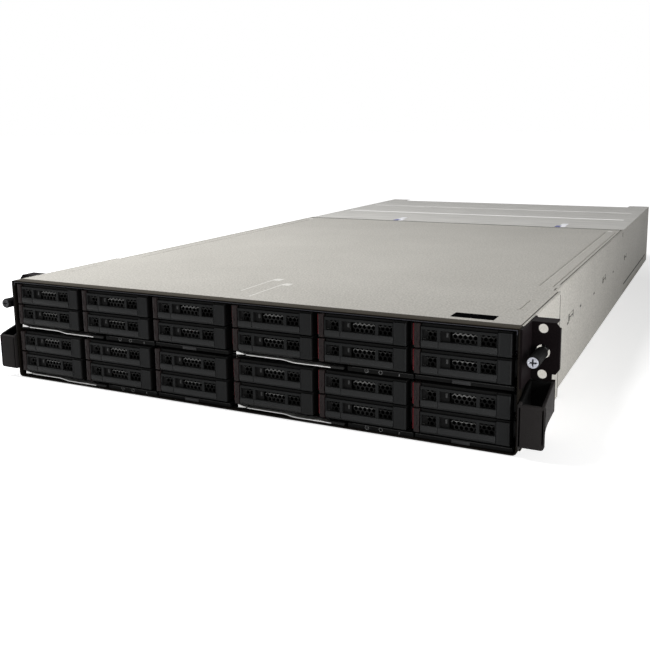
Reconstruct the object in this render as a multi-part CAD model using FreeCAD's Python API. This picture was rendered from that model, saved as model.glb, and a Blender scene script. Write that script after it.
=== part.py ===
import FreeCAD, Part
import math
import os

# Rack enclosure two units high that holds four pull-out compute nodes, each with six small drives in front.
# X runs to the right seen from the front, Y runs to the back, Z is up; the origin is the bottom centre of
# the bounding box. Millimetres.

os.makedirs("parts", exist_ok=True)
V = FreeCAD.Vector

# Enclosure
OVERALL_DEPTH = 891.5   # from the ear handles to the back corners
HEIGHT = 87.0
RACK_PITCH = 465.1      # between the two columns of rack holes
RACK_STEP = 15.875      # between rack holes one above the other
EAR_OUT = 11.45         # ear edge outside the rack holes
BODY_GAP = 9.05         # rack holes outside the front section
BODY_INSET = 4.0        # body sides inside the front section's sides
FRONT_SECTION = 136.0   # depth of the wide front section that holds the drives
SHEET = 1.2             # wall and cover sheet
BASE_T = 1.0            # base sheet
STRIP_DEPTH = 10.0      # black frame round the front
FAN_COVER_T = 0.8
TAB_LENGTH = 21.0       # corner tabs at the back
TAB_WIDTH = 30.0
HANDLE_PROUD = 2.5      # ear handles stand in front of the drives by this much
RUN = 0.3               # running gap between pieces that slide past each other

# Rack ears
EAR_HOLE_R = 3.3
EAR_Y = 28.0            # front of the ear plate behind the drive fronts
EAR_T = 1.6
EAR_RETURN = 12.0       # folded top edge behind the ear plate
EAR_LIP = 2.0           # folded outer edge behind it
SCREW_R = 4.3
SCREW_NECK_R = 3.3
SCREW_HOLE_R = 5.0
HANDLE_FACE = 3.2       # walls of the ear handle
HANDLE_WALL = 2.2

# Compute nodes
BAY_DEPTH_LEFT = 335.5  # depth of the enclosure that the nodes leave free behind them
TRAY_T = 0.7
FLOOR_T = 0.8
LID_T = 0.6
SHELF_T = 0.5
CAGE_FRONT = 12.0
POST_H = 2.4            # raised ribs under the board
BOARD_T = 1.6

# Drives
ROW_FLOOR = 4.6         # lower row above the node's underside
ROW_GAP = 1.0
LATCH_W = 2.7           # column edge to the drive's face
FACE_GAP = 3.3          # drive's face to the next column
RAIL_T = 0.8
RAIL_IN = 1.1           # column edge to the carrier's rail
SIDE_STRIP = 4.2        # plain strip at the left of the face
WINDOWS = ((5.6, 16.2), (18.6, 44.4), (46.8, 57.4))
WINDOW_FLOOR = 5.7
WINDOW_ROOF = 4.5       # below the top of the face
WINDOW_DEPTH = 6.0
LIP = 0.8               # raised lower band of the face

# Release lever, in from the node's left edge
PIVOT_U = 7.9
PIVOT_V = 9.0
PIN_R = 1.9
EYE_R = 6.0
LEVER_HIGH = 1.7        # underside of the pivot end
LEVER_LOW = 0.3         # underside of the grip end
LEVER_T = 1.0
LEVER_W = 8.0
BEND_U = 44.9
BEND_RUN = 12.0
LEVER_END = 85.8
GRIP_LENGTH = 10.6

# Operator panel
PANEL_U = 99.5
PANEL_LENGTH = 50.0
PANEL_FLOOR = 0.1
PANEL_H = 3.2
BUTTON_U = 114.3
BUTTON_R = 1.05
BUTTON_GAP = 0.25
ID_U = 125.1
TAB_U = 151.0
TAB_L = 69.0

# Modules at the back
FAN_DEPTH = 38.0
FAN_WALL = 2.5
MODULE_LEN = 185.0
PSU_W = 73.5
MANAGEMENT_W = 122.0
SLOT_PITCH = 20.32
SLOTS = 8

# Derived places
FRONT = -OVERALL_DEPTH / 2 + HANDLE_PROUD
REAR = OVERALL_DEPTH / 2
EIA_HALF = RACK_PITCH / 2
EAR_HALF = EIA_HALF + EAR_OUT
FRONT_HALF = EIA_HALF - BODY_GAP
BODY_HALF = FRONT_HALF - BODY_INSET
INNER = BODY_HALF - SHEET
EIA_TOP = HEIGHT - 5.4
EIA_SCREW = EIA_TOP - RACK_STEP
EIA_LOW = EIA_TOP - 2 * RACK_STEP
HANDLE_TOP = EIA_LOW - 3.85
COVER_Z = HEIGHT - SHEET
LEVEL = (COVER_Z - BASE_T) / 2
NODE_Z = (BASE_T + RUN, BASE_T + RUN + LEVEL)
NODE_HEIGHT = LEVEL - SHELF_T - 2 * RUN - 0.05
SHELF_TOP = NODE_Z[1] - RUN - 0.05
NODE_DEPTH = OVERALL_DEPTH - BAY_DEPTH_LEFT
NODE_WIDTH = FRONT_HALF - SHEET - 0.7
NODE_LEFT = (-NODE_WIDTH - 0.4, 0.4)
NODE_STEP = BODY_INSET - 0.3
CAGE_DEPTH = FRONT_SECTION - 4.0
BACKPLANE_V = CAGE_DEPTH - 11.0
DRIVE_PITCH = (NODE_WIDTH - 0.8) / 3
DRIVE_H = (NODE_HEIGHT - ROW_FLOOR - ROW_GAP - 0.85) / 2
DRIVE_ROWS = (ROW_FLOOR, ROW_FLOOR + DRIVE_H + ROW_GAP)
FACE_W = DRIVE_PITCH - LATCH_W - FACE_GAP
DISK_W = DRIVE_PITCH - 2 * RAIL_IN - 2 * RAIL_T + 0.05
DISK_LEN = BACKPLANE_V - 20.6
DISK_H = DRIVE_H - 2.4
COVER_SEAM = NODE_DEPTH + 6.5
MIDPLANE_Y = NODE_DEPTH + 9.0
FAN_Y = MIDPLANE_Y + 25.0
LARGE_FAN = HEIGHT - 7.0
SMALL_FAN = HEIGHT - 27.0
MODULE_FACE = OVERALL_DEPTH - HANDLE_PROUD - TAB_LENGTH
MODULE_Y = MODULE_FACE - MODULE_LEN
PSU_H = LEVEL - 2.4
MODULE_Z = (BASE_T + 0.5, BASE_T + 0.5 + LEVEL)
PSU_X = -INNER + 0.9
REAR_WALLS = (PSU_X + PSU_W + 3.4, PSU_X + PSU_W + 4.4 + MANAGEMENT_W)


def box(x0, x1, y0, y1, z0, z1):
    return Part.makeBox(x1 - x0, y1 - y0, z1 - z0, V(x0, y0, z0))


def cyl_y(x, z, r, y0, y1):
    return Part.makeCylinder(r, y1 - y0, V(x, y0, z), V(0, 1, 0))


def cyl_z(x, y, r, z0, z1):
    return Part.makeCylinder(r, z1 - z0, V(x, y, z0), V(0, 0, 1))


def prism(points, along):
    wire = Part.makePolygon(points + [points[0]])
    return Part.Face(wire).extrude(along)


def drum(x, z, r, sides, y0, y1):
    # Many-sided drum along Y, for round forms that repeat
    turn = [2 * math.pi * (i + 0.5) / sides for i in range(sides)]
    points = [V(x + r * math.cos(a), y0, z + r * math.sin(a)) for a in turn]
    return prism(points, V(0, y1 - y0, 0))


def fuse(shapes):
    return shapes[0].multiFuse(shapes[1:]).removeSplitter()


def save(name, solids):
    Part.makeCompound(solids).exportStep("parts/" + name + ".step")


def mirrored(shape):
    return shape.mirror(V(0, 0, 0), V(1, 0, 0))


def outline(y0, y1, z0, z1):
    # Flat sheet that follows the body: wide over the front section, narrower behind it
    step = FRONT + FRONT_SECTION
    half = [(FRONT_HALF, y0), (FRONT_HALF, step), (BODY_HALF, step), (BODY_HALF, y1)]
    points = [V(x, y, z0) for x, y in half]
    points += [V(-x, y, z0) for x, y in reversed(half)]
    return prism(points, V(0, 0, z1 - z0))


def enclosure_tub():
    # Base sheet and riveted side sheets; the front pair stands further out to clear the drives
    base = outline(FRONT + STRIP_DEPTH, REAR, 0, BASE_T)
    step = FRONT + FRONT_SECTION
    front = box(FRONT_HALF - SHEET, FRONT_HALF, FRONT + STRIP_DEPTH, step - SHEET, BASE_T, COVER_Z)
    joggle = box(INNER, FRONT_HALF, step - SHEET, step, BASE_T, COVER_Z)
    back = box(INNER, BODY_HALF, step, REAR, BASE_T, COVER_Z)
    y0 = FRONT + COVER_SEAM + 22
    y1 = FRONT + MODULE_FACE - 33
    band = box(BODY_HALF - SHEET / 2, BODY_HALF + 1, y0, y1, 2.2, 13.0)
    right = [front, joggle, back.cut(band)]
    return [base] + right + [mirrored(s) for s in right]


def top_cover():
    # Fixed cover with shallow pressed channels
    plate = outline(FRONT + STRIP_DEPTH, FRONT + COVER_SEAM, COVER_Z, HEIGHT)
    deep = HEIGHT - SHEET * 0.4
    cuts = [box(-17.0, 0.5, FRONT + 28, FRONT + 92, deep, HEIGHT + 1)]
    x0, x1 = BODY_HALF - 15.0, BODY_HALF - 3.5
    y0, y1 = FRONT + FRONT_SECTION + 19, FRONT + COVER_SEAM - 35
    channel = box(x0, x1, y0, y1, deep, HEIGHT + 1)
    notch = box(BODY_HALF - 1.9, FRONT_HALF + 1, y0 - 9, y0 + 3, COVER_Z - 1, HEIGHT + 1)
    cuts += [channel, mirrored(channel), notch, mirrored(notch)]
    return [plate.cut(Part.makeCompound(cuts))]


def fan_cover():
    # Cover over the fans: two raised beads across it and a tab at each back corner
    z1 = COVER_Z + FAN_COVER_T
    y0 = FRONT + COVER_SEAM + 0.5
    y1 = REAR - TAB_LENGTH
    x1 = BODY_HALF
    x0 = BODY_HALF - TAB_WIDTH
    points = [V(-x1, y0, COVER_Z), V(x1, y0, COVER_Z), V(x1, REAR, COVER_Z), V(x0, REAR, COVER_Z)]
    points += [V(x0, y1, COVER_Z), V(-x0, y1, COVER_Z), V(-x0, REAR, COVER_Z), V(-x1, REAR, COVER_Z)]
    plate = prism(points, V(0, 0, FAN_COVER_T))
    beads = []
    end = BODY_HALF - 11.5
    for place in (0.335, 0.634):
        y = FRONT + COVER_SEAM + place * (REAR - FRONT - COVER_SEAM)
        section = [V(-end, y - 4, z1), V(-end, y - 1.5, HEIGHT), V(-end, y + 1.5, HEIGHT), V(-end, y + 4, z1)]
        beads.append(prism(section, V(2 * end, 0, 0)))
    return [fuse([plate] + beads)]


def front_strip():
    # Black frame round the node bays, made of four bars
    y1 = FRONT + STRIP_DEPTH
    z1 = COVER_Z - 0.2
    top = box(-FRONT_HALF, FRONT_HALF, FRONT, y1, z1, HEIGHT)
    bottom = box(-FRONT_HALF, FRONT_HALF, FRONT, y1, 0, BASE_T)
    post = box(FRONT_HALF - SHEET, FRONT_HALF, FRONT, y1, BASE_T, z1)
    return [top, bottom, post, mirrored(post)]


def bay_dividers():
    # Centre wall and shelf sheets between the four bays, and the walls between the modules at the back
    centre = box(-RUN, RUN, FRONT + CAGE_FRONT + 2, FRONT + NODE_DEPTH + 6, BASE_T, COVER_Z)
    shelf = box(RUN, INNER, FRONT + CAGE_FRONT + 2, FRONT + NODE_DEPTH + 4, SHELF_TOP - SHELF_T, SHELF_TOP)
    solids = [centre, shelf, mirrored(shelf)]
    y0 = FRONT + MODULE_Y - 23
    y1 = FRONT + MODULE_FACE
    a, b = REAR_WALLS
    for x in REAR_WALLS:
        solids.append(box(x, x + 1.0, y0, y1, BASE_T, COVER_Z))
    level = (MODULE_Z[0] + PSU_H + MODULE_Z[1]) / 2
    solids.append(box(-INNER, a, y0 + 30, y1, level - 0.4, level + 0.4))
    solids.append(box(a + 1.0, b, y0 + 30, y1, level - 0.4, level + 0.4))
    solids.append(box(a + 1.0, b, y1 - 1.0, y1, level + 0.4, COVER_Z))
    return solids


def midplane():
    # Upright boards: the midplane that all nodes plug into, and the board in front of the power supplies
    y0 = FRONT + MIDPLANE_Y
    end = INNER - 6.0
    board = box(-end, end, y0, y0 + 3, BASE_T, COVER_Z - 2.8)
    holes = []
    for x in (-0.75 * end, -0.25 * end, 0.25 * end, 0.75 * end):
        for z in NODE_Z:
            holes.append(box(x - 28, x + 28, y0 - 1, y0 + 4, z + 28, z + 36))
    solids = [board.cut(Part.makeCompound(holes))]
    for left in NODE_LEFT:
        for z in NODE_Z:
            for u in (50.0, 140.0):
                solids.append(box(left + u, left + u + 44, y0 - 4.4, y0, z + 5, z + 24))
    psu = FRONT + MODULE_Y
    solids.append(box(PSU_X + 3, PSU_X + PSU_W - 2, psu - 4.0, psu - 1.0, BASE_T, COVER_Z - 2.8))
    return solids


def rack_ear():
    # Folded bracket: a flange on the side sheet, the ear plate, and returns along its top and outer edges
    y0 = FRONT + EAR_Y
    y1 = y0 + EAR_T
    top = HEIGHT - 0.8
    inner = FRONT_HALF + 1.5
    narrow = EAR_HALF - 2.6
    above = HANDLE_TOP + 0.4
    low = 0.165 * HANDLE_TOP
    yz = [(FRONT + 0.5, above), (y0, above), (y0, low), (y1 + 16, low), (y1 + 16, top), (FRONT + 0.5, top)]
    flange = prism([V(FRONT_HALF, y, z) for y, z in yz], V(inner - FRONT_HALF, 0, 0))
    notch = EIA_LOW - 3.1
    root = 0.53 * HANDLE_TOP
    slot = EIA_HALF + 6.5
    xz = [(inner, root), (narrow, root), (narrow, notch), (slot, notch), (slot, notch + 3.9)]
    xz += [(EAR_HALF - 2.4, notch + 3.9), (EAR_HALF, notch + 7.2), (EAR_HALF, EIA_TOP + 0.9)]
    xz += [(EAR_HALF - 3.0, top), (inner, top)]
    plate = prism([V(x, y0, z) for x, z in xz], V(0, EAR_T, 0))
    for z in (EIA_TOP, EIA_LOW):
        plate = plate.cut(cyl_y(EIA_HALF, z, EAR_HOLE_R, y0 - 1, y1 + 1))
    plate = plate.cut(drum(EIA_HALF, EIA_SCREW, SCREW_HOLE_R, 16, y0 - 1, y1 + 1))
    outer = box(EAR_HALF - 1.4, EAR_HALF, y1, y1 + EAR_LIP, notch + 7.2, EIA_TOP + 0.9)
    upper = box(inner, EAR_HALF - 3.0, y1, y1 + EAR_RETURN, top - 1.2, top)
    return fuse([flange, plate, outer, upper])


def ear_handle():
    # Moulded pull: a flat face on two side walls that slope up to the ear, scooped below for the fingers
    y0 = FRONT - HANDLE_PROUD
    y1 = FRONT + EAR_Y
    x0 = FRONT_HALF + 0.5
    x1 = EIA_HALF + 8.85
    top = HANDLE_TOP
    low = 0.165 * top
    back = y0 + HANDLE_FACE

    def p(y, z):
        return V(x0, y, z)

    edges = [
        Part.LineSegment(p(y1, top), p(y0 + 5.0, top - 7.2)),
        Part.Arc(p(y0 + 5.0, top - 7.2), p(y0 + 1.4, top - 8.6), p(y0, top - 11.0)),
        Part.LineSegment(p(y0, top - 11.0), p(y0, low + 1.0)),
        Part.LineSegment(p(y0, low + 1.0), p(y0 + 1.0, low)),
        Part.LineSegment(p(y0 + 1.0, low), p(back, low)),
        Part.LineSegment(p(back, low), p(back, 0.36 * top)),
        Part.Arc(p(back, 0.36 * top), p(y0 + 5.6, 0.44 * top), p(y0 + 13.0, 0.49 * top)),
        Part.LineSegment(p(y0 + 13.0, 0.49 * top), p(y1, 0.53 * top)),
        Part.LineSegment(p(y1, 0.53 * top), p(y1, top)),
    ]
    wire = Part.Wire([e.toShape() for e in edges])
    body = Part.Face(wire).extrude(V(x1 - x0, 0, 0))
    body = body.cut(box(x0 + HANDLE_WALL, x1 - HANDLE_WALL, back, y1 - HANDLE_WALL, 0, HEIGHT))
    body = body.cut(prism([V(x1, y0 - 1, low), V(x1 - 2, y0 - 1, low), V(x1, y0 - 1, low + 2)], V(0, 5, 0)))
    upright = []
    for edge in body.Edges:
        a, b = edge.Vertexes[0].Point, edge.Vertexes[-1].Point
        if abs(a.y - y0) < 0.01 and abs(b.y - y0) < 0.01 and abs(a.z - b.z) > 5:
            upright.append(edge)
    return body.makeChamfer(1.0, upright)


def rack_screw():
    # Captive screw: long grip sleeve, neck through the ear plate, retaining clip behind it, shank, cross slot
    y = FRONT + EAR_Y + EAR_T
    sleeve = cyl_y(EIA_HALF, EIA_SCREW, SCREW_R, FRONT - 2.0, y - EAR_T - 2.5)
    neck = drum(EIA_HALF, EIA_SCREW, SCREW_NECK_R, 12, y - EAR_T - 2.5, y + 0.4)
    end = SCREW_HOLE_R + 1.4
    clip = box(EIA_HALF - 1.3, EIA_HALF + 1.3, y + 0.4, y + 1.6, EIA_SCREW - end, EIA_SCREW + end)
    shank = drum(EIA_HALF, EIA_SCREW, 2.4, 12, y + 0.4, y + 14)
    upright = box(-0.5, 0.5, FRONT - 3, FRONT - 0.8, -2.4, 2.4)
    level = box(-2.4, 2.4, FRONT - 3, FRONT - 0.8, -0.5, 0.5)
    cross = fuse([upright, level])
    cross.translate(V(EIA_HALF, 0, EIA_SCREW))
    return fuse([sleeve, neck, clip, shank]).cut(cross)


def fan_places():
    # Two small fans at the ends and three large ones between, spread evenly across the body
    sizes = (SMALL_FAN, LARGE_FAN, LARGE_FAN, LARGE_FAN, SMALL_FAN)
    gap = (2 * INNER - sum(sizes)) / (len(sizes) + 1)
    places = []
    x = -INNER
    for size in sizes:
        places.append((x + gap + size / 2, size))
        x += gap + size
    return places


def fan_frame(x, size):
    # Square fan housing with a round duct, and a cross at its back that carries the motor
    y0 = FRONT + FAN_Y
    y1 = y0 + FAN_DEPTH
    zc = BASE_T + size / 2
    frame = box(x - size / 2, x + size / 2, y0, y1, BASE_T, BASE_T + size)
    frame = frame.cut(drum(x, zc, size / 2 - FAN_WALL, 16, y0 - 1, y1 + 1))
    end = size / 2 - FAN_WALL / 2
    bars = [box(x - end, x + end, y1 - 4, y1, zc - 3, zc + 3)]
    bars.append(box(x - 3, x + 3, y1 - 4, y1, zc - end, zc + end))
    motor = drum(x, zc, size * 0.2, 8, y1 - 8, y1)
    return fuse([frame, motor] + bars)


def fan_rotor(x, size):
    # Hub with seven flats, a pitched blade on each, bored for a round shaft
    y0 = FRONT + FAN_Y + 2
    y1 = FRONT + FAN_Y + FAN_DEPTH - 8.6
    zc = BASE_T + size / 2
    hub = size * 0.22
    tip = size / 2 - FAN_WALL - 1.5
    chord = hub
    parts = [drum(x, zc, hub, 7, y0, y1)]
    for i in range(7):
        blade = Part.makeBox(tip - hub + 3.0, chord, 1.6, V(hub - 3.0, -chord / 2, -0.8))
        blade.rotate(V(0, 0, 0), V(1, 0, 0), 38)
        blade.rotate(V(0, 0, 0), V(0, 1, 0), 360.0 / 7 * i)
        blade.translate(V(x, (y0 + y1) / 2, zc))
        parts.append(blade)
    return fuse(parts).cut(cyl_y(x, zc, 2.0, y0 - 1, y0 + 6))


def tray_outline(left, v0, v1, z0, z1, outer):
    # Sheet the size of a node in plan: the outer side steps in behind the drive cage
    a = 0.4
    b = NODE_WIDTH - 0.4
    s = NODE_STEP
    if outer > 0:
        uv = [(a, v0), (b, v0), (b, CAGE_DEPTH), (b - s, CAGE_DEPTH), (b - s, v1), (a, v1)]
    else:
        uv = [(a, v0), (b, v0), (b, v1), (a + s, v1), (a + s, CAGE_DEPTH), (a, CAGE_DEPTH)]
    return prism([V(left + u, FRONT + v, z0) for u, v in uv], V(0, 0, z1 - z0))


def column(left, k):
    return left + 0.4 + DRIVE_PITCH * k


def node_tray(left, z, outer):
    # Folded tray with the drive cage, its lid, the operator panel and the information tab
    top = z + NODE_HEIGHT - LID_T
    full = tray_outline(left, CAGE_FRONT, NODE_DEPTH, z, top, outer)
    a = left + 0.4 + TRAY_T
    b = left + NODE_WIDTH - 0.4 - TRAY_T
    y0 = FRONT + CAGE_FRONT - 1
    y1 = FRONT + NODE_DEPTH + 1
    zf = z + FLOOR_T
    back_a = a if outer > 0 else a + NODE_STEP
    back_b = b - NODE_STEP if outer > 0 else b
    cage = box(a, b, y0, FRONT + CAGE_DEPTH - TRAY_T, zf, top + 1)
    rest = box(back_a, back_b, y0, y1, zf, top + 1)
    parts = [full.cut(fuse([cage, rest]))]
    for k in (1, 2):
        x = column(left, k)
        parts.append(box(x, x + TRAY_T, FRONT + CAGE_FRONT + 1, FRONT + BACKPLANE_V - 3, zf, top))
    parts.append(box(left + 1.0, left + 16.5, FRONT + 3, FRONT + CAGE_FRONT, z, zf))
    px, py = left + PIVOT_U, FRONT + PIVOT_V
    seat = z + LEVER_HIGH - RUN
    over = z + LEVER_HIGH + LEVER_T + RUN
    parts.append(box(px - 2.4, px + 2.4, py - 2.4, py + 2.4, zf, seat))
    parts.append(box(px - 1.3, px + 1.3, py - 1.3, py + 1.3, seat - 0.1, over + 0.1))
    parts.append(box(px - 2.6, px + 2.6, py - 2.6, py + 2.6, over, over + 0.8))
    for u in (0.12, 0.49, 0.86):
        x = left + u * NODE_WIDTH
        parts.append(box(x, x + 6, FRONT + CAGE_DEPTH + 14, FRONT + NODE_DEPTH - 20, zf, zf + POST_H))
    tray = fuse(parts)
    lid = tray_outline(left, CAGE_FRONT + 2, NODE_DEPTH, top, top + LID_T, outer)
    z0 = z + PANEL_FLOOR
    zc = z0 + PANEL_H / 2
    x0 = left + PANEL_U
    panel = box(x0, x0 + PANEL_LENGTH, FRONT + 1.5, FRONT + CAGE_FRONT, z0, z0 + PANEL_H)
    bore = drum(left + BUTTON_U, zc, BUTTON_R + BUTTON_GAP, 12, FRONT, FRONT + 8.0)
    pocket = drum(left + ID_U, zc, BUTTON_R, 10, FRONT, FRONT + 1.9)
    panel = panel.cut(bore).cut(pocket)
    x0 = left + TAB_U
    tab = box(x0, x0 + TAB_L, FRONT + 2.0, FRONT + CAGE_FRONT, z + 0.4, z + 3.6)
    return [tray, lid, panel, tab]


def heatsink(x0, x1, y0, y1, z0, z1):
    # Finned block on a plate, cut from one profile
    fins = 5
    pitch = (x1 - x0 - 2.4) / (fins - 1)
    block = box(x0, x1, y0, y1, z0, z1)
    gaps = []
    for i in range(fins - 1):
        x = x0 + pitch * i + 2.4
        gaps.append(box(x, x + pitch - 2.4, y0 - 1, y1 + 1, z0 + 4, z1 + 1))
    return block.cut(Part.makeCompound(gaps))


def node_electronics(left, z):
    # Board on the tray's ribs, two heat sinks in line, sixteen memory modules, drive backplane, rear plugs
    zb = z + FLOOR_T + POST_H
    zt = zb + BOARD_T
    u0, u1 = 6.0, NODE_WIDTH - 7.6
    uc, half = (u0 + u1) / 2, (u1 - u0) / 2 - 56.0
    length = (NODE_DEPTH - CAGE_DEPTH - 224.0) / 2
    board = box(left + u0, left + u1, FRONT + CAGE_DEPTH + 2, FRONT + NODE_DEPTH - 8, zb, zt)
    solids = [board]
    for v in (CAGE_DEPTH + 53, CAGE_DEPTH + 113 + length):
        y0, y1 = FRONT + v, FRONT + v + length
        solids.append(heatsink(left + uc - half, left + uc + half, y0, y1, zt, z + NODE_HEIGHT - 9.4))
        for i in range(4):
            for u in (u0 + 8 + 11.0 * i, u1 - 14 - 11.0 * i):
                solids.append(box(left + u, left + u + 4, y0 - 16, y1 + 17, zt, z + NODE_HEIGHT - 5.4))
    yb = FRONT + BACKPLANE_V
    back = box(left + 2, left + NODE_WIDTH - 2.6, yb, yb + 2, z + FLOOR_T, z + NODE_HEIGHT - 3.2)
    vents = []
    plugs = []
    for row in DRIVE_ROWS:
        z0, z1 = z + row + 0.65 * DRIVE_H, z + row + 0.86 * DRIVE_H
        vents.append(box(left + 10, left + NODE_WIDTH - 12, yb - 1, yb + 3, z0, z1))
        for k in range(3):
            x = column(left, k)
            plugs.append(box(x + 18, x + 52, yb - 6.6, yb, z + row + 0.2 * DRIVE_H, z + row + 0.57 * DRIVE_H))
    solids.append(fuse([back.cut(Part.makeCompound(vents))] + plugs))
    for u in (50.0, 140.0):
        y1 = FRONT + NODE_DEPTH + 4
        solids.append(box(left + u, left + u + 44, y1 - 22, y1, zt, zt + 19))
    return solids


def node_lever(left, z):
    # Steel lever: pivot end above the tray floor, a joggle, then the grip end down in front of the floor
    hi = z + LEVER_HIGH
    lo = z + LEVER_LOW
    t = LEVER_T
    y0 = FRONT + PIVOT_V - LEVER_W
    start = PIVOT_U + 0.5
    bend = BEND_U + BEND_RUN
    uz = [(start, hi), (BEND_U - 0.4, hi), (bend - 0.4, lo), (LEVER_END, lo), (LEVER_END, lo + t)]
    uz += [(bend, lo + t), (BEND_U, hi + t), (start, hi + t)]
    bar = prism([V(left + u, y0, w) for u, w in uz], V(0, LEVER_W, 0))
    px, py = left + PIVOT_U, FRONT + PIVOT_V
    turn = [2 * math.pi * (i + 0.5) / 12 for i in range(12)]
    eye = prism([V(px + EYE_R * math.cos(a), py + EYE_R * math.sin(a), hi) for a in turn], V(0, 0, t))
    nose = box(px - 2.5, px + 2.0, py + 3, py + EYE_R + 1.0, hi, hi + t)
    lever = fuse([bar, eye, nose]).cut(cyl_z(px, py, PIN_R + 0.05, hi - 1, hi + t + 1))
    x0 = left + LEVER_END
    grip = box(x0, x0 + GRIP_LENGTH, FRONT + 0.6, FRONT + PIVOT_V, lo, lo + 2.2)
    return [lever, grip]


def power_button(left, z):
    # Round push button in the operator panel
    zc = z + PANEL_FLOOR + PANEL_H / 2
    return [drum(left + BUTTON_U, zc, BUTTON_R, 12, FRONT + 0.7, FRONT + 6.8)]


def drive(x, z):
    # Windowed face, the rail frame behind it, the disk between the rails, and the latch beside the face
    y = FRONT
    x0 = x + LATCH_W
    roof = DRIVE_H - WINDOW_ROOF
    low = WINDOW_FLOOR - 0.7
    yz = [(LIP + 0.5, DRIVE_H), (LIP, DRIVE_H - 0.6), (LIP, low), (0.0, low - 0.6), (0.0, 1.8)]
    yz += [(LIP + 0.7, 0.0), (11.0, 0.0), (11.0, DRIVE_H)]
    face = prism([V(x0, y + a, z + b) for a, b in yz], V(FACE_W, 0, 0))
    cuts = []
    for s0, s1 in WINDOWS:
        cuts.append(box(x0 + s0, x0 + s1, y - 1, y + WINDOW_DEPTH, z + WINDOW_FLOOR, z + roof))
    cuts.append(box(x0 + SIDE_STRIP, x0 + SIDE_STRIP + 0.5, y - 1, y + 2.0, z - 1, z + DRIVE_H + 1))
    face = face.cut(Part.makeCompound(cuts))
    r0 = x + RAIL_IN
    d0 = r0 + RAIL_T
    d1 = d0 + DISK_W
    end = y + BACKPLANE_V - 5
    r1 = d1 + RAIL_T
    xy = [(r0, y + 11), (r1, y + 11), (r1, end), (d1, end), (d1, y + 12), (d0, y + 12), (d0, end), (r0, end)]
    rails = prism([V(a, b, z + 2.0) for a, b in xy], V(0, 0, DRIVE_H - 4.4))
    disk = box(d0, d1, y + 12.4, y + 12.4 + DISK_LEN, z + 1.2, z + 1.2 + DISK_H)
    latch = box(x + 0.5, x0 - 0.2, y + 3.0, y + 10.0, z + 1.0, z + DRIVE_H - 1.0)
    return [face, rails, disk, latch]


def power_supply(z):
    # Hollow case with an inlet, a fan opening, a fixed pull and a release tab on its back face
    x0 = PSU_X
    x1 = x0 + PSU_W
    y0 = FRONT + MODULE_Y
    y1 = FRONT + MODULE_FACE
    case = box(x0, x1, y0, y1, z, z + PSU_H)
    case = case.cut(box(x0 + 1, x1 - 1, y0 + 1, y1 - 1, z + 1, z + PSU_H - 1))
    case = case.cut(box(x0 + 5, x0 + 32, y1 - 2, y1 + 1, z + 10, z + 30))
    case = case.cut(drum(x1 - 21, z + PSU_H / 2, 16.0, 16, y1 - 2, y1 + 1))
    inlet = box(x0 + 5, x0 + 32, y1 - 20, y1, z + 10, z + 30)
    inlet = inlet.cut(box(x0 + 7, x0 + 30, y1 - 17, y1 + 1, z + 12.5, z + 27.5))
    blades = []
    for u, w in ((10.5, 19.5), (17.5, 14.5), (24.5, 19.5)):
        blades.append(box(x0 + u, x0 + u + 2, y1 - 18, y1 - 5, z + w, z + w + 4))
    inlet = fuse([inlet] + blades)
    board = box(x0 + 1, x1 - 1, y0 + 6, y1 - 24, z + 4, z + 5.6)
    coil = box(x0 + 14, x1 - 17, y0 + 30, y0 + 100, z + 5.6, z + PSU_H - 6)
    rails = [box(x, x + 4, y0 + 6, y1 - 24, z + 1, z + 4) for x in (x0 + 6, x1 - 10)]
    inside = fuse([board, coil] + rails)
    a, b = x1 - 39.0, x1 - 3.0
    xy = [(a, 0), (a, 16), (b, 16), (b, 0), (b - 3, 0), (b - 3, 12.5), (a + 3, 12.5), (a + 3, 0)]
    pull = prism([V(x, y1 + d, z + PSU_H / 2 - 3) for x, d in xy], V(0, 0, 6))
    tab = box(x0 + 33.2, x0 + 34.3, y1, y1 + 9, z + 24, z + 36)
    return [case, inlet, inside, pull, tab]


def pcie_shuttle():
    # Tray of eight low-profile card slots with a riser board across it
    x0 = REAR_WALLS[1] + 1.6
    x1 = INNER - 0.5
    y0 = FRONT + MODULE_Y
    y1 = FRONT + MODULE_FACE
    z0 = MODULE_Z[0]
    z1 = COVER_Z - SHEET
    floor = box(x0, x1, y0, y1, z0, z0 + 1)
    sides = [box(x0, x0 + 1, y0, y1, z0 + 1, z1), box(x1 - 1, x1, y0, y1, z0 + 1, z1)]
    face = box(x0 + 1, x1 - 1, y1 - 1, y1, z0 + 1, z1)
    blanks = []
    first = (x0 + x1) / 2 - SLOT_PITCH * (SLOTS - 1) / 2
    for i in range(SLOTS):
        x = first + SLOT_PITCH * i
        face = face.cut(box(x - 6.5, x + 6.5, y1 - 2, y1 + 1, z0 + 6, z1 - 6))
        blanks.append(box(x - 9.2, x + 9.2, y1 - 1.9, y1 - 1, z0 + 2, z1 - 1.5))
    riser = box(x0 + 4, x1 - 4, y0 + 12, y0 + 14, z0 + 1, z1 - 10)
    return [floor] + sides + [face] + blanks + [riser]


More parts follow.
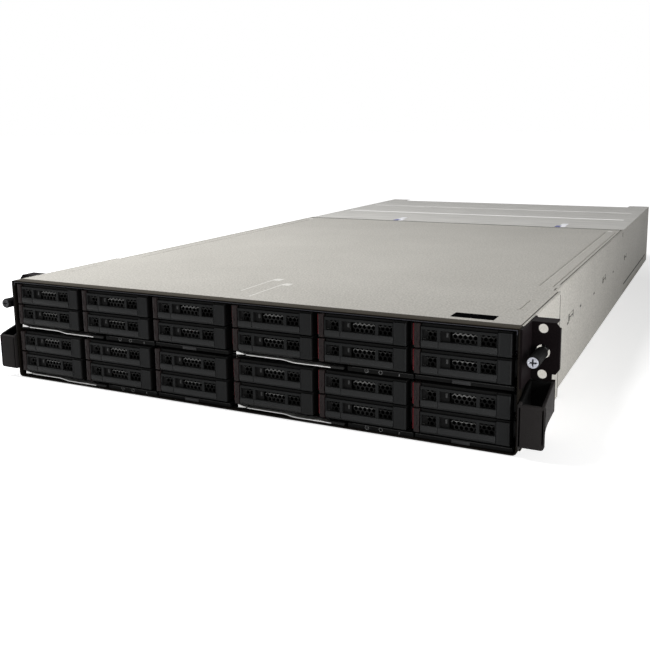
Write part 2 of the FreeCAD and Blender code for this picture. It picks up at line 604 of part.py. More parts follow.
def management_module():
    # Low tray with a face plate, a board and two network sockets
    x0 = REAR_WALLS[0] + 1.6
    x1 = REAR_WALLS[1] - 0.6
    y0 = FRONT + MODULE_Y + 10
    y1 = FRONT + MODULE_FACE
    z0 = MODULE_Z[0]
    z1 = z0 + PSU_H
    floor = box(x0, x1, y0, y1, z0, z0 + 1)
    face = box(x0, x1, y1 - 1, y1, z0 + 1, z1)
    posts = [box(x, x + 5, y, y + 5, z0 + 1, z0 + 4) for x in (x0 + 6, x1 - 11) for y in (y0 + 8, y1 - 32)]
    sockets = []
    for x in (x0 + 22.0, x0 + 46.0):
        face = face.cut(box(x, x + 16, y1 - 22, y1 + 1, z0 + 5.6, z0 + 19.6))
        socket = box(x, x + 16, y1 - 22, y1, z0 + 5.6, z0 + 19.6)
        sockets.append(socket.cut(box(x + 2, x + 14, y1 - 18, y1 + 1, z0 + 8, z0 + 17)))
    tray = fuse([floor, face] + posts)
    board = box(x0 + 2, x1 - 2, y0 + 4, y1 - 4, z0 + 4, z0 + 5.6)
    return [tray, board] + sockets


save("enclosure_tub", enclosure_tub())
save("top_cover", top_cover())
save("fan_cover", fan_cover())
save("front_strip", front_strip())
save("bay_dividers", bay_dividers())
save("midplane", midplane())
ear = rack_ear()
save("rack_ears", [mirrored(ear), ear])
handle = ear_handle()
save("ear_handles", [mirrored(handle), handle])
screw = rack_screw()
save("rack_screw_left", [mirrored(screw)])
save("rack_screw_right", [screw])
save("fan_frames", [fan_frame(x, size) for x, size in fan_places()])
for i, (x, size) in enumerate(fan_places()):
    save("fan_rotor_%d" % (i + 1), [fan_rotor(x, size)])
for i, z in enumerate(MODULE_Z):
    save("power_supply_%d" % (i + 1), power_supply(z))
save("pcie_shuttle", pcie_shuttle())
save("management_module", management_module())

# Nodes are counted from the top left; each has its drives counted across, top row first
number = 0
for z in reversed(NODE_Z):
    for side, left in zip((-1, 1), NODE_LEFT):
        number += 1
        save("node_%d_tray" % number, node_tray(left, z, side))
        save("node_%d_electronics" % number, node_electronics(left, z))
        save("node_%d_lever" % number, node_lever(left, z))
        save("node_%d_power_button" % number, power_button(left, z))
        place = 0
        for row in reversed(DRIVE_ROWS):
            for k in range(3):
                place += 1
                save("node_%d_drive_%d" % (number, place), drive(column(left, k), z + row))
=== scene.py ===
import math
import bmesh
import bpy
import numpy as np
from mathutils import Matrix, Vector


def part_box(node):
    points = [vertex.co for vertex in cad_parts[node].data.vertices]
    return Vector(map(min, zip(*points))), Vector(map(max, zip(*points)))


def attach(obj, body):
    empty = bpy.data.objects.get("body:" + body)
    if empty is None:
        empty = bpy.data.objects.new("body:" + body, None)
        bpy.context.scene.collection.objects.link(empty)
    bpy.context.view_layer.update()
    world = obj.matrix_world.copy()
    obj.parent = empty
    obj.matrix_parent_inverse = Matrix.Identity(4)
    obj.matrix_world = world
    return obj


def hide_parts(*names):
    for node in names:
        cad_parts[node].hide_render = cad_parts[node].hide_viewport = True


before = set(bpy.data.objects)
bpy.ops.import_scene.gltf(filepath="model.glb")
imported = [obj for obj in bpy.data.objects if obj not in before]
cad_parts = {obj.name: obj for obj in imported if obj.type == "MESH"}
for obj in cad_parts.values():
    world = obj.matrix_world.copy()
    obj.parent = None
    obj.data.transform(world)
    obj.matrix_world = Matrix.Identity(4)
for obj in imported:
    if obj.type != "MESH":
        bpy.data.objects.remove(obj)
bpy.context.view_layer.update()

# Enclosure tub. Zinc-plated sheet steel, laser cut and folded: a base and two side sheets, set further
# apart round the drives. It carries everything else. Lanced bridges show on its sides, and its slots,
# open through the sheet, show as dark patches of painted shade.


def extent(node):
    """Lowest and highest corner of a solid of the enclosure, in millimetres."""
    low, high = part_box(node)
    return np.array(low) * 1000.0, np.array(high) * 1000.0


def plug(node, sockets):
    """Sets sockets of a shader node, each to a value or to the output of another node."""
    for socket, value in sockets.items():
        if isinstance(value, bpy.types.NodeSocket):
            node.id_data.links.new(value, node.inputs[socket])
        else:
            node.inputs[socket].default_value = value
    return node


def shader_node(tree, kind, sockets, **settings):
    """New node in a shader tree, with its settings and its sockets."""
    node = tree.nodes.new("ShaderNode" + kind)
    for key, value in settings.items():
        setattr(node, key, value)
    return plug(node, sockets)


def rgba(colour, share=1.0):
    """Colour socket's value, dimmed to a share; a single number is a grey."""
    parts = (colour,) * 3 if isinstance(colour, float) else colour
    return (*[c * share for c in parts], 1.0)


def finish(name, dark, light, grain, rough, metallic=0.0, bump=0.1, stretch=(1.0, 1.0, 1.0), zones=(),
           gloss=0.5):
    """Surface finish. The colour runs from dark to light with six parts of fine noise, as wide as the
    grain in millimetres, and one part of broad noise; the fine noise also sets the roughness and the
    bump. A zone is a box in millimetres (None is open) that has its own colour, roughness and metallic
    share."""
    broad_grain, broad_share, bump_depth = 90.0, 0.14, 0.0002
    coat = bpy.data.materials.new(name)
    coat.use_nodes = True
    tree = coat.node_tree

    def mix(share, a, b, colours=False):
        """Output of a mix of two numbers, or of two colours."""
        at, kind, out = (6, "RGBA", 2) if colours else (2, "FLOAT", 0)
        return shader_node(tree, "Mix", {0: share, at: a, at + 1: b}, data_type=kind).outputs[out]

    place = shader_node(tree, "TexCoord", {}).outputs["Object"]
    turn = shader_node(tree, "Mapping", {"Scale": stretch, "Vector": place}).outputs["Vector"]
    fine, broad = [
        shader_node(tree, "TexNoise", {
            "Scale": 1000.0 / size, "Detail": depth, "Vector": turn}).outputs["Fac"]
        for size, depth in ((grain, 4.0), (broad_grain, 2.0))]
    spread = shader_node(tree, "MapRange", {
        "From Min": 0.36, "From Max": 0.64, "Value": mix(broad_share, fine, broad)}).outputs["Result"]
    shown = mix(spread, rgba(dark), rgba(light), True)
    dull = shader_node(tree, "MapRange", {
        "From Min": 0.3, "From Max": 0.7, "To Min": rough[0], "To Max": rough[1],
        "Value": fine}).outputs["Result"]
    lift = shader_node(tree, "Bump", {"Strength": bump, "Distance": bump_depth, "Height": fine})
    along = shader_node(tree, "SeparateXYZ", {0: place}).outputs
    metal = metallic
    for bounds, tint, zone_rough, zone_metal in zones:
        inside = 1.0
        for i, bound in enumerate(bounds):
            if bound is not None:
                test = shader_node(tree, "Math", {0: along[i // 2], 1: bound * 0.001},
                                   operation="LESS_THAN" if i % 2 else "GREATER_THAN").outputs[0]
                inside = shader_node(tree, "Math", {0: inside, 1: test}, operation="MULTIPLY").outputs[0]
        shown = mix(inside, shown, mix(spread, rgba(tint, 0.8), rgba(tint), True), True)
        dull, metal = mix(inside, dull, zone_rough), mix(inside, metal, zone_metal)
    plug(tree.nodes["Principled BSDF"], {
        "Base Color": shown, "Roughness": dull, "Metallic": metal, "Specular IOR Level": gloss,
        "Normal": lift.outputs["Normal"]})
    return coat


def dress(coat, *nodes):
    """Gives solids of the enclosure that stay in view their finish."""
    for name in nodes:
        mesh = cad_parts[name].data
        mesh.materials.clear()
        mesh.materials.append(coat)


def tube(P, ring=False):
    """Closed section carried along a path: P[i, j] is point j of the section at station i. A ring joins
    its ends."""
    rows, cols = P.shape[:2]
    i = np.arange(rows if ring else rows - 1)[:, None]
    j = np.arange(cols)[None, :]
    k, n = (i + 1) % rows, (j + 1) % cols
    quads = np.stack([i * cols + j, i * cols + n, k * cols + n, k * cols + j], -1)
    return P.reshape(-1, 3), quads.reshape(-1, 4)


def block(low, high, r=0.4, k=2):
    """Block with rounded edges: a small sphere of radius r, cut in eight and its parts pushed out to the
    corners."""
    low, high = np.array(low, float), np.array(high, float)
    r = min(r, 0.49 * (high - low).min())
    rise = np.linspace(0.0, math.pi / 2, k + 1)
    lat = np.concatenate([rise - math.pi / 2, rise])[:, None]
    lon = (np.arange(4)[:, None] * math.pi / 2 + rise).reshape(1, -1)
    sx = np.repeat([1.0, -1.0, -1.0, 1.0], k + 1)[None, :]
    sy = np.repeat([1.0, 1.0, -1.0, -1.0], k + 1)[None, :]
    sz = np.repeat([-1.0, 1.0], k + 1)[:, None]
    ball = np.stack([np.cos(lat) * np.cos(lon), np.cos(lat) * np.sin(lon), np.sin(lat) + 0 * lon], -1)
    push = np.stack([sx + 0 * sz, sy + 0 * sz, sz + 0 * sx], -1)
    return tube((low + high) / 2 + push * ((high - low) / 2 - r) + ball * r)


def piece(name, shells, coat, body, nodes=(), sharp=32.0, merge=True):
    """One named piece made of closed shells, given in millimetres; open ends are capped."""
    count = np.cumsum([0] + [len(p) for p, q in shells])
    points = np.concatenate([p for p, q in shells]) * 0.001
    quads = np.concatenate([q + c for (p, q), c in zip(shells, count)])
    mesh = bpy.data.meshes.new(name)
    mesh.vertices.add(len(points))
    mesh.vertices.foreach_set("co", points.ravel())
    mesh.loops.add(quads.size)
    mesh.loops.foreach_set("vertex_index", quads.ravel().astype(np.int32))
    mesh.polygons.add(len(quads))
    mesh.polygons.foreach_set("loop_start", np.arange(0, quads.size, 4, dtype=np.int32))
    mesh.update(calc_edges=True)
    work = bmesh.new()
    work.from_mesh(mesh)
    if merge:
        bmesh.ops.remove_doubles(work, verts=work.verts, dist=1e-6)
        bmesh.ops.dissolve_degenerate(work, dist=1e-7, edges=work.edges)
    bmesh.ops.holes_fill(work, edges=[e for e in work.edges if e.is_boundary], sides=0)
    bmesh.ops.recalc_face_normals(work, faces=work.faces)
    work.to_mesh(mesh)
    work.free()
    mesh.polygons.foreach_set("use_smooth", np.ones(len(mesh.polygons), bool))
    mesh.set_sharp_from_angle(angle=math.radians(sharp))
    mesh.materials.append(coat)
    thing = bpy.data.objects.new(name, mesh)
    bpy.context.scene.collection.objects.link(thing)
    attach(thing, body)
    if nodes:
        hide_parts(*nodes)


def black_paint_and_shade_zone(*bounds):
    """Black zone of a finish: black paint, and painted shade for the dark inside of a bay."""
    return bounds, black_paint_and_shade, 0.6, 0.0


def zinc_sheet(name, zones=(), gloss=0.02):
    """Zinc plating: a warm grey with a fine spangle."""
    return finish(name, (0.406, 0.391, 0.357), (0.594, 0.575, 0.531), 1.5, (0.42, 0.56), 0.05, 0.06,
                  zones=zones, gloss=gloss)


def skin(x, way, thick):
    """A side face at x and another one so much further out, as two X values in order."""
    return sorted((way * x, way * (x + thick)))


# Near-black, used both for black paint and for the painted shade inside the bays and the handle hollows.
black_paint_and_shade = 0.004
front = extent("front_strip")[0][1]
wide_x, side_x = extent("top_cover")[1][0], extent("fan_cover")[1][0]
bay_x, bay_floor, cage_y, ear_y = 222.9, 0.5, front + 70.0, front + 29.0
# The tub's inside round the first 70 mm of the bays is near-black as painted shade; its outside over the
# first 29 mm, under the ears, is black too.
dress(zinc_sheet("zinc_plated_tub", (
    black_paint_and_shade_zone(-bay_x, bay_x, None, cage_y, bay_floor, None), black_paint_and_shade_zone(bay_x, None, None, ear_y, bay_floor, None),
    black_paint_and_shade_zone(None, -bay_x, None, ear_y, bay_floor, None))), "enclosure_tub")
zinc = zinc_sheet("zinc_plated_sheet")
bridge_places = ((209.0, 51.2), (409.0, 50.0), (597.0, 47.0))
slot_places = ((195.0, 47.3), (258.0, 50.0), (339.0, 46.7), (482.0, 45.8))
bridges, slots = [], []
for way in (-1.0, 1.0):
    x0, x1 = skin(side_x, way, 0.05)
    out0, out1 = skin(side_x, way, 0.45)
    for v, z in bridge_places:
        y = front + v
        slots += [((x0, y + d - 2.6, z - 3.3), (x1, y + d + 2.6, z + 3.3)) for d in (-9.5, 9.5)]
        slots.append(((x0, y - 7.0, z - 0.5), (x1, y + 7.0, z + 0.5)))
        bridges += [block((out0, y - 6.6, z + d - 1.2), (out1, y + 6.6, z + d + 1.2)) for d in (-2.0, 2.0)]
    slots += [((x0, front + v - 3.6, z - 1.1), (x1, front + v + 3.6, z + 1.1)) for v, z in slot_places]
    slots.append(((x0, front + 557.0, 77.6), (x1, front + 562.0, 83.2)))
    slots.append(((x0, front + 590.0, 11.4), (x1, front + 862.0, 13.6)))
    x0, x1 = skin(wide_x, way, 0.05)
    # A dark line of painted shade where the wider front section of the side ends.
    slots.append(((x0, front + 133.6, 1.5), (x1, front + 135.6, 84.0)))
piece("side_bridges", bridges, zinc, "enclosure")
# The slots and lines are dark patches: painted shade standing in for the dark inside of each opening and
# edge.
slot_shade = finish("painted_slot_shade", (0.11, 0.107, 0.098), (0.17, 0.166, 0.152), 1.0, (0.7, 0.85), gloss=0.02)
piece("side_slot_shade", [block(a, b, 0.02, 1) for a, b in slots], slot_shade, "enclosure")

# Top cover. One zinc-plated sheet over the node bays, its edges stepped in behind the drives. Channels are
# pressed into it along the sides and ribs raised at the front centre; its long edges are hemmed, and it
# carries a black plate.


def ramp(v, a, b):
    """Smooth step from 0 at a to 1 at b."""
    t = np.clip((v - a) / (b - a), 0.0, 1.0)
    return t * t * (3.0 - 2.0 * t)


def within(v, a, b, soft):
    """1 between a and b and 0 outside, over walls as wide as twice soft."""
    return ramp(v, a - soft, a + soft) * (1.0 - ramp(v, b - soft, b + soft))


def notch(v, middle, half):
    """Narrow groove: 1 on its line, falling straight to 0 at half its width each side."""
    return np.clip(1.0 - np.abs(v - middle) / half, 0.0, 1.0)


def lines(a, b, count, marks, soft):
    """Grid lines from a to b: even ones, and a cluster of seven across each mark."""
    extra = np.array(marks)[:, None] + soft * np.linspace(-1.2, 1.2, 7)
    return np.unique(np.clip(np.concatenate([np.linspace(a, b, count), extra.ravel()]), a, b).round(4))


def pressed_sheet(x, y, half, height, under):
    """Pressed sheet: a grid in x and y, cut off at half(y) each side, whose top is height(x, y) and whose
    underside is flat; each station is the top line and then the underside line back."""
    X, Y = np.meshgrid(x, y)
    X = np.clip(X, -half(Y), half(Y))
    top = np.stack([X, Y, height(X, Y)], -1)
    low = np.stack([X, Y, np.full_like(X, under)], -1)[:, ::-1]
    return tube(np.concatenate([top, low], 1))


cover_low, cover_high = extent("top_cover")
cover_top, lip = cover_high[2] - 0.2, 1.3
step_y, seam_y = front + 136.0, cover_high[1] - 9.0
ribs = ((-12.0, 39.0, 94.0), (5.8, 22.6, 77.5))
pad_x, pad_v = (204.6, 210.0), (529.0, 539.0)
channel_v, channel_w, groove_w = (152.0, 527.0), 203.4, 214.6
cross_grooves = ((57.0, 207.0), (94.5, 207.0), (133.0, 209.0))


def cover_half(y):
    """Half width of the sheet between its hems: wide round the drives, narrower behind the step."""
    return np.where(y < step_y - 0.01, wide_x, side_x) - lip - 0.8


def cover_height(x, y):
    """Top of the sheet: a plane, less each pressed groove and the seam's step, plus each rib and pad."""
    v, w = y - front, np.abs(x)
    z = np.full_like(x, cover_top)
    run = within(v, *channel_v, 2.0)
    z -= (0.75 * notch(w, channel_w, 1.3) + 0.6 * notch(w, groove_w, 0.6)) * run
    z += 0.12 * within(w, 205.0, 213.8, 0.5) * run + 0.12 * within(w, *pad_x, 0.8) * within(v, *pad_v, 1.5)
    z -= 0.1 * within(x, -11.0, 4.8, 0.8) * within(v, 31.0, 85.0, 2.0)
    for x0, v0, v1 in ribs:
        end_pad = within(x, x0 + 0.8, x0 + 7.0, 0.8) * within(v, v1 - 6.0, v1 + 3.0, 1.2)
        z += 0.17 * np.maximum(notch(x, x0, 1.6) * within(v, v0, v1, 1.5), end_pad)
    for v0, w0 in cross_grooves:
        z -= 0.8 * notch(v, v0, 1.5) * within(w, w0, w0 + 9.5, 0.6)
    z -= 0.5 * notch(w, 209.5, 0.6) * within(v, 57.0, 94.0, 0.6)
    z -= 0.9 * ramp(y, seam_y - 1.4, seam_y + 0.6)
    return z


x_marks = np.array([202.6, 203.4, 204.2, 205.0, 207.0, 209.0, 209.5, 210.0, 213.8, 214.6, 216.5, 218.5])
x_marks = np.concatenate([x_marks, -x_marks, [-13.2, -12.0, -10.8, -5.0, 4.6, 5.8, 7.0, 12.8]])
v_marks = np.array([133.0, 152.0, 527.0, 529.0, 539.0, 22.6, 31.0, 39.0, 57.0, 71.5, 80.5, 85.0, 88.0,
                    94.5, 97.0])
y_marks = np.append(front + v_marks, seam_y - 0.4)
sheet_y = np.sort(np.append(lines(cover_low[1], cover_high[1], 60, y_marks, 1.3), [step_y - 0.02, step_y]))
sheet_x = lines(-wide_x, wide_x, 50, x_marks, 0.5)
# Painted light on the cover: a painted highlight on each rib and pad, and painted shade on the lowered strip
# behind the seam, under the fan cover's front edge.
rib_painted_highlight, pad_painted_highlight = (0.78, 0.765, 0.72), (0.82, 0.805, 0.76)
cover_painted_light = [((None, None, seam_y, None, None, None), (0.045, 0.043, 0.038), 0.7, 0.0)]
for way in (-1.0, 1.0):
    x0, x1 = skin(pad_x[0], way, pad_x[1] - pad_x[0])
    cover_painted_light.append(((x0, x1, front + pad_v[0], front + pad_v[1], None, None), pad_painted_highlight, 0.45, 0.05))
for x, v0, v1 in ribs:
    y0, y1 = front + v0, front + v1
    cover_painted_light.append(((x - 0.8, x + 0.8, y0, y1, None, None), rib_painted_highlight, 0.45, 0.05))
    cover_painted_light.append(((x + 0.5, x + 7.2, y1 - 6.0, y1 + 3.0, None, None), pad_painted_highlight, 0.45, 0.05))
piece("cover_sheet", [pressed_sheet(sheet_x, sheet_y, cover_half, cover_height, cover_low[2])],
      zinc_sheet("zinc_plated_cover", cover_painted_light), "enclosure", ("top_cover",), 60.0)
hems, gaps = [], []
for way in (-1.0, 1.0):
    for edge, y0, y1 in ((wide_x, cover_low[1], step_y), (side_x, step_y + 0.2, cover_high[1])):
        x0, x1 = skin(edge, way, -lip)
        hems.append(block((x0, y0, cover_low[2]), (x1, y1, cover_top), 0.55))
        # A thin dark strip under the inner edge of each hem, painted shade in the gap beside it.
        x0, x1 = skin(edge - lip + 0.2, way, -1.2)
        gaps.append(block((x0, y0, cover_low[2]), (x1, y1, cover_low[2] + 0.25), 0.05, 1))
    x0, x1 = skin(side_x - 0.2, way, -2.4)
    hems.append(block((x0, front + 147.0, cover_low[2]), (x1, front + 162.0, cover_high[2] - 0.02), 0.5))
shadow = finish("shaded_slot", (0.05, 0.048, 0.042), (0.075, 0.072, 0.064), 1.0, (0.7, 0.85), gloss=0.05)
piece("cover_hems", hems, zinc, "enclosure", ("top_cover",))
piece("cover_hem_gaps", gaps, shadow, "enclosure", ("top_cover",))
film = finish("black_film", (0.0015, 0.0015, 0.0018), (0.0032, 0.0032, 0.0035), 2.0, (0.4, 0.5), bump=0.02,
              gloss=0.0)
plate = [block((171.0, front + 17.0, cover_top), (201.5, front + 30.5, cover_top + 0.14), 0.1),
         block((171.8, front + 17.8, cover_top + 0.1), (200.7, front + 29.7, cover_top + 0.19), 0.08)]
piece("bare_plate", plate, film, "enclosure")

# Fan cover. A second zinc-plated sheet that slides off to the back, with two raised beads across it, a tab
# at each back corner, and two small touch points at its front edge that show where to push.
fan_low, fan_high = extent("fan_cover")
tab_wide, tab_y = 30.0, fan_high[1] - 21.0
fan_top, bead_shares, bead_end = fan_low[2] + 0.5, (0.335, 0.634), 207.0


def fan_half(y):
    """Half width of the sheet, the same all along."""
    return np.full_like(y, side_x)


def fan_height(x, y):
    """Top of the sheet: a plane with two beads that fade out near the sides, less a crease at the front."""
    z = np.full_like(x, fan_top)
    start = fan_low[1] - 0.5
    for share in bead_shares:
        y0 = start + share * (fan_high[1] - start)
        z += 0.68 * within(y, y0 - 3.0, y0 + 3.0, 1.2) * (1.0 - ramp(np.abs(x), 205.0, 210.0))
    z -= 0.12 * within(y, fan_low[1] + 5.0, fan_low[1] + 7.0, 0.6)
    return z


bead_y = [fan_low[1] + s * (fan_high[1] - fan_low[1]) + d for s in bead_shares for d in (-3.0, 3.0)]
fan_y = lines(fan_low[1], tab_y, 30, bead_y + [fan_low[1] + 6.0], 1.2)
fan_x = lines(-side_x, side_x, 40, [-bead_end, bead_end], 3.0)
shells = [pressed_sheet(fan_x, fan_y, fan_half, fan_height, fan_low[2])]
for way in (-1.0, 1.0):
    x0, x1 = skin(side_x, way, -tab_wide)
    shells.append(block((x0, tab_y - 0.4, fan_low[2]), (x1, fan_high[1], fan_top), 0.2))
# Painted highlights along the front of the two beads, the first one brighter and wider.
bead_crest_highlights = [((-bead_end, bead_end, y - 0.6, y + deep, None, None), tint, 0.35, 0.6) for y, deep, tint in (
    (bead_y[0], 5.4, (0.95, 0.94, 0.92)), (bead_y[2], 2.8, (0.75, 0.74, 0.72)))]
brushed = finish("brushed_zinc_cover", (0.52, 0.51, 0.486), (0.715, 0.703, 0.67), 2.2, (0.42, 0.56), 0.16,
                 0.06, (0.05, 1.0, 1.0), bead_crest_highlights, 0.02)
piece("fan_cover_sheet", shells, brushed, "fan_cover", ("fan_cover",), 60.0)
touch_blue = finish("blue_touch_point", (0.13, 0.15, 0.36), (0.2, 0.22, 0.46), 1.5, (0.4, 0.55), bump=0.03,
                    gloss=0.05)
touch_white = finish("white_touch_point", (0.8, 0.8, 0.84), (0.9, 0.9, 0.93), 1.5, (0.4, 0.55), 0.5, 0.03,
                     gloss=0.05)
z, y0, y1, y2 = fan_top - 0.05, fan_low[1] + 0.8, fan_low[1] + 14.5, fan_low[1] + 38.0
blue, white = [], []
for x, shift in ((-91.5, -0.5), (134.0, 3.5)):
    blue.append(block((x, y0, z), (x + 6.8, y1, z + 0.5), 0.2))
    white.append(block((x + 6.9, y0, z), (x + 13.0, y1, z + 0.4), 0.2))
    white.append(block((x + shift, y1 + 0.1, z), (x + shift + 8.2, y2, z + 0.4), 0.2))
piece("touch_points_blue", blue, touch_blue, "fan_cover")
piece("touch_points_white", white, touch_white, "fan_cover")

# Front frame. A black painted steel surround round the four node bays, thin on every side and rounded at
# its bottom corners; it is screwed to the front edges of the tub.


def surround(low, high, radius, section):
    """Frame round a rectangle: an arc of its own radius at each corner, with the section, given as inset and
    depth pairs, carried all round."""
    turn = np.linspace(0.0, math.pi / 2, 7)
    rows = []
    for q, (cx, cz) in enumerate(((1, 1), (-1, 1), (-1, -1), (1, -1))):
        r = radius[q]
        a = turn + q * math.pi / 2
        mid = np.array([high[0] - r if cx > 0 else low[0] + r, high[2] - r if cz > 0 else low[2] + r])
        reach = np.maximum(r - section[:, 0], 0.05)
        spill = np.minimum(r - section[:, 0] - 0.05, 0.0)
        x = mid[0] + np.cos(a)[:, None] * reach + spill * cx
        z = mid[1] + np.sin(a)[:, None] * reach + spill * cz
        y = low[1] + section[:, 1] + 0 * x
        rows.append(np.stack([x, y, z], -1))
    return tube(np.concatenate(rows), ring=True)


low, high = extent("front_strip")
top = high[2]
# A painted sheen: the frame's top face is a warm grey, for the light its satin paint reflects there.
top_painted_sheen = ((None, None, None, None, top - 0.25, None), (0.052, 0.045, 0.035), 0.5, 0.0)
satin = finish("satin_black_paint", (0.006, 0.005, 0.004), (0.012, 0.010, 0.008), 0.7, (0.34, 0.46),
               bump=0.05, gloss=0.02, zones=(top_painted_sheen,))
bar = np.array([(0.0, 10.0), (0.0, 0.5), (0.15, 0.15), (0.4, 0.0), (0.95, 0.0), (1.2, 0.3), (1.2, 10.0)])
piece("front_frame", [surround(low, high, (1.4, 1.4, 3.6, 3.6), bar)], satin, "enclosure", ("front_strip",),
      50.0)
# A painted highlight: paler, glossier strips along the frame's top front edge and down its upper corners.
edge_highlight = finish("frame_edge_highlight", (0.028, 0.028, 0.034), (0.05, 0.05, 0.06), 0.8, (0.34, 0.46),
                    bump=0.04, gloss=0.2)
roll = [block((-222.0, front + 0.05, top - 1.75), (222.0, front + 0.7, top - 1.2), 0.2)]
roll += [block((x, front + 0.1, top - 4.5), (x + 0.6, front + 0.65, top - 1.5), 0.2) for x in (-222.0, 221.4)]
piece("front_frame_highlight_strips", roll, edge_highlight, "enclosure")

# Bay sheets and midplane. Zinc-plated sheets part the bays; the upright boards behind the nodes are green
# glass fibre with black sockets, and stand in slots of the base.
# The bay sheets' first 70 mm are near-black, painted shade for the dark inside of the bays.
dress(finish("zinc_bay_sheet", (0.42, 0.41, 0.38), (0.52, 0.51, 0.47), 1.4, (0.42, 0.56), 0.5, 0.06,
             gloss=0.2, zones=(black_paint_and_shade_zone(None, None, None, cage_y, None, None),)), "bay_dividers")
sockets_end = front + 564.95
dress(finish("green_board", (0.012, 0.055, 0.022), (0.02, 0.085, 0.034), 2.4, (0.3, 0.45), bump=0.06, zones=(
    ((None, None, None, sockets_end, None, None), (0.012, 0.012, 0.013), 0.5, 0.0),)), "midplane")

# Rack ears. Black powder-coated steel brackets folded from thick sheet and riveted to the front section;
# two round holes each for the rack's own screws, and a larger one for the captive screw.
powder = finish("black_powder_coat", (0.005, 0.0037, 0.0041), (0.0095, 0.007, 0.0078), 0.5, (0.5, 0.66),
                gloss=0.02)
dress(powder, "rack_ears")


def around(n):
    """So many angles, evenly once round."""
    return np.linspace(0, 2 * math.pi, n, endpoint=False)


def dome(centre, normal, r, h, n=14):
    """Rivet head: a low cap of revolution, height h times the root of one less the squared share of the
    radius."""
    centre, normal = np.array(centre, float), np.array(normal, float)
    side = np.cross(normal, [0.0, 0.0, 1.0])
    up = np.cross(side, normal)
    t = np.linspace(0, 1, 5)[:, None]
    a = around(n)[None, :]
    rho = r * np.cos(t * math.pi / 2) + 0.02
    lift = h * np.sin(t * math.pi / 2) + 0 * a
    return tube(centre + (rho * np.cos(a))[..., None] * side + (rho * np.sin(a))[..., None] * up
                + lift[..., None] * normal)


return_x, rivet_y = 225.0, front + 38.0
rivets = [dome((way * return_x, rivet_y, z), (way, 0, 0), 2.0, 0.6)
          for way in (-1.0, 1.0) for z in (12.0, 40.0, 76.0)]
piece("ear_rivets", rivets, powder, "enclosure")

# Ear handles. Dark grey moulded plastic: a flat face on two side walls that slope up to the ear, open above
# and scooped out below so that fingers reach behind the face; each is screwed to its ear from behind.


def carried(outline, a, b, r, along=0):
    """Moulded section carried along X, or along Y: the outline, given in the other two directions, is drawn
    in along its normals by a quarter circle of radius r at both ends."""
    ahead, behind = np.roll(outline, -1, 0), np.roll(outline, 1, 0)
    run = ahead - behind
    out = np.stack([run[:, 1], -run[:, 0]], -1) / np.linalg.norm(run, axis=1)[:, None]
    out *= np.sign(np.sum(outline[:, 0] * ahead[:, 1] - ahead[:, 0] * outline[:, 1]))
    t = np.linspace(0, math.pi / 2, 5)
    inset = np.concatenate([r * (1 - np.sin(t)), r * (1 - np.sin(t[::-1]))])
    x = np.concatenate([a + r * (1 - np.cos(t)), b - r * (1 - np.cos(t[::-1]))])
    flat = outline[None] - inset[:, None, None] * out[None]
    return tube(np.insert(flat, along, x[:, None] + 0 * flat[..., 0], axis=-1))


def arc(points, n=9):
    """Points along the parabola through three given points."""
    a, b, c = np.array(points, float)
    t = np.linspace(0, 1, n)[:, None]
    return a * (1 - t) * (1 - 2 * t) + b * 4 * t * (1 - t) + c * t * (2 * t - 1)


(_, y0, low), (outer_x, y1, tall) = extent("ear_handles")
inner_x, wall, back, shoulder = 224.0, 2.2, y0 + 3.2, tall - 9.4
wall_outline = np.concatenate([
    [(y1, tall)], np.linspace((y1 - 3, tall - 0.85), (y0 + 6.0, tall - 6.9), 6),
    arc(((y0 + 5.0, tall - 7.2), (y0 + 1.4, tall - 8.6), (y0, tall - 11.0)), 6),
    np.linspace((y0, tall - 13.0), (y0, low + 4.0), 5),
    [(y0, low + 1.0), (y0 + 1.0, low), (back, low), (back, low + 4.0)],
    arc(((back, 0.36 * tall), (y0 + 5.6, 0.44 * tall), (y0 + 13.0, 0.49 * tall)), 10), [(y1, 0.53 * tall)]])
outer_outline = wall_outline[(wall_outline[:, 1] > low + 3.0) | (wall_outline[:, 0] > back)]
t = np.linspace(0, math.pi / 2, 6)
corner = np.stack([outer_x - 2.2 + 2.2 * np.sin(t), low + 2.2 - 2.2 * np.cos(t)], -1)
face_x = inner_x - 0.4
face_outline = np.concatenate([[(face_x, shoulder), (face_x, low + 6.0), (face_x, low)], corner,
                               [(outer_x, low + 8.0), (outer_x, shoulder)]])
hollow = (inner_x - 0.1, outer_x - wall + 0.1)
# Painted shade: the hollow behind each handle's face is near-black.
scoop_shade = [((a, b, back - 0.1, y1 - 1.0, None, None), black_paint_and_shade, 0.7, 0.0)
          for a, b in (hollow, (-hollow[1], -hollow[0]))]
moulded = finish("dark_moulded_plastic", (0.0185, 0.0168, 0.0165), (0.027, 0.0246, 0.0243), 0.6, (0.5, 0.66),
                 bump=0.14, gloss=0.05, zones=scoop_shade)
grip = [carried(face_outline, y0, back, 0.35, 1),
        carried(wall_outline + [0.0, 0.01], inner_x, inner_x + wall, 0.6),
        carried(outer_outline, outer_x - wall, outer_x, 0.6),
        block((inner_x + 0.2, y1 - wall, 0.54 * tall), (outer_x - 0.2, y1, tall - 0.3), 0.5)]
mirrored = [(p * np.array([-1.0, 1.0, 1.0]), q[:, ::-1]) for p, q in grip]
piece("ear_handle_right", grip, moulded, "enclosure", ("ear_handles",))
piece("ear_handle_left", mirrored, moulded, "enclosure", ("ear_handles",))

# Captive rack screws. A long black knurled sleeve hangs in the ear's middle hole behind a bright,
# cross-slotted screw face; a retaining clip and the threaded shank stand behind the ear plate.


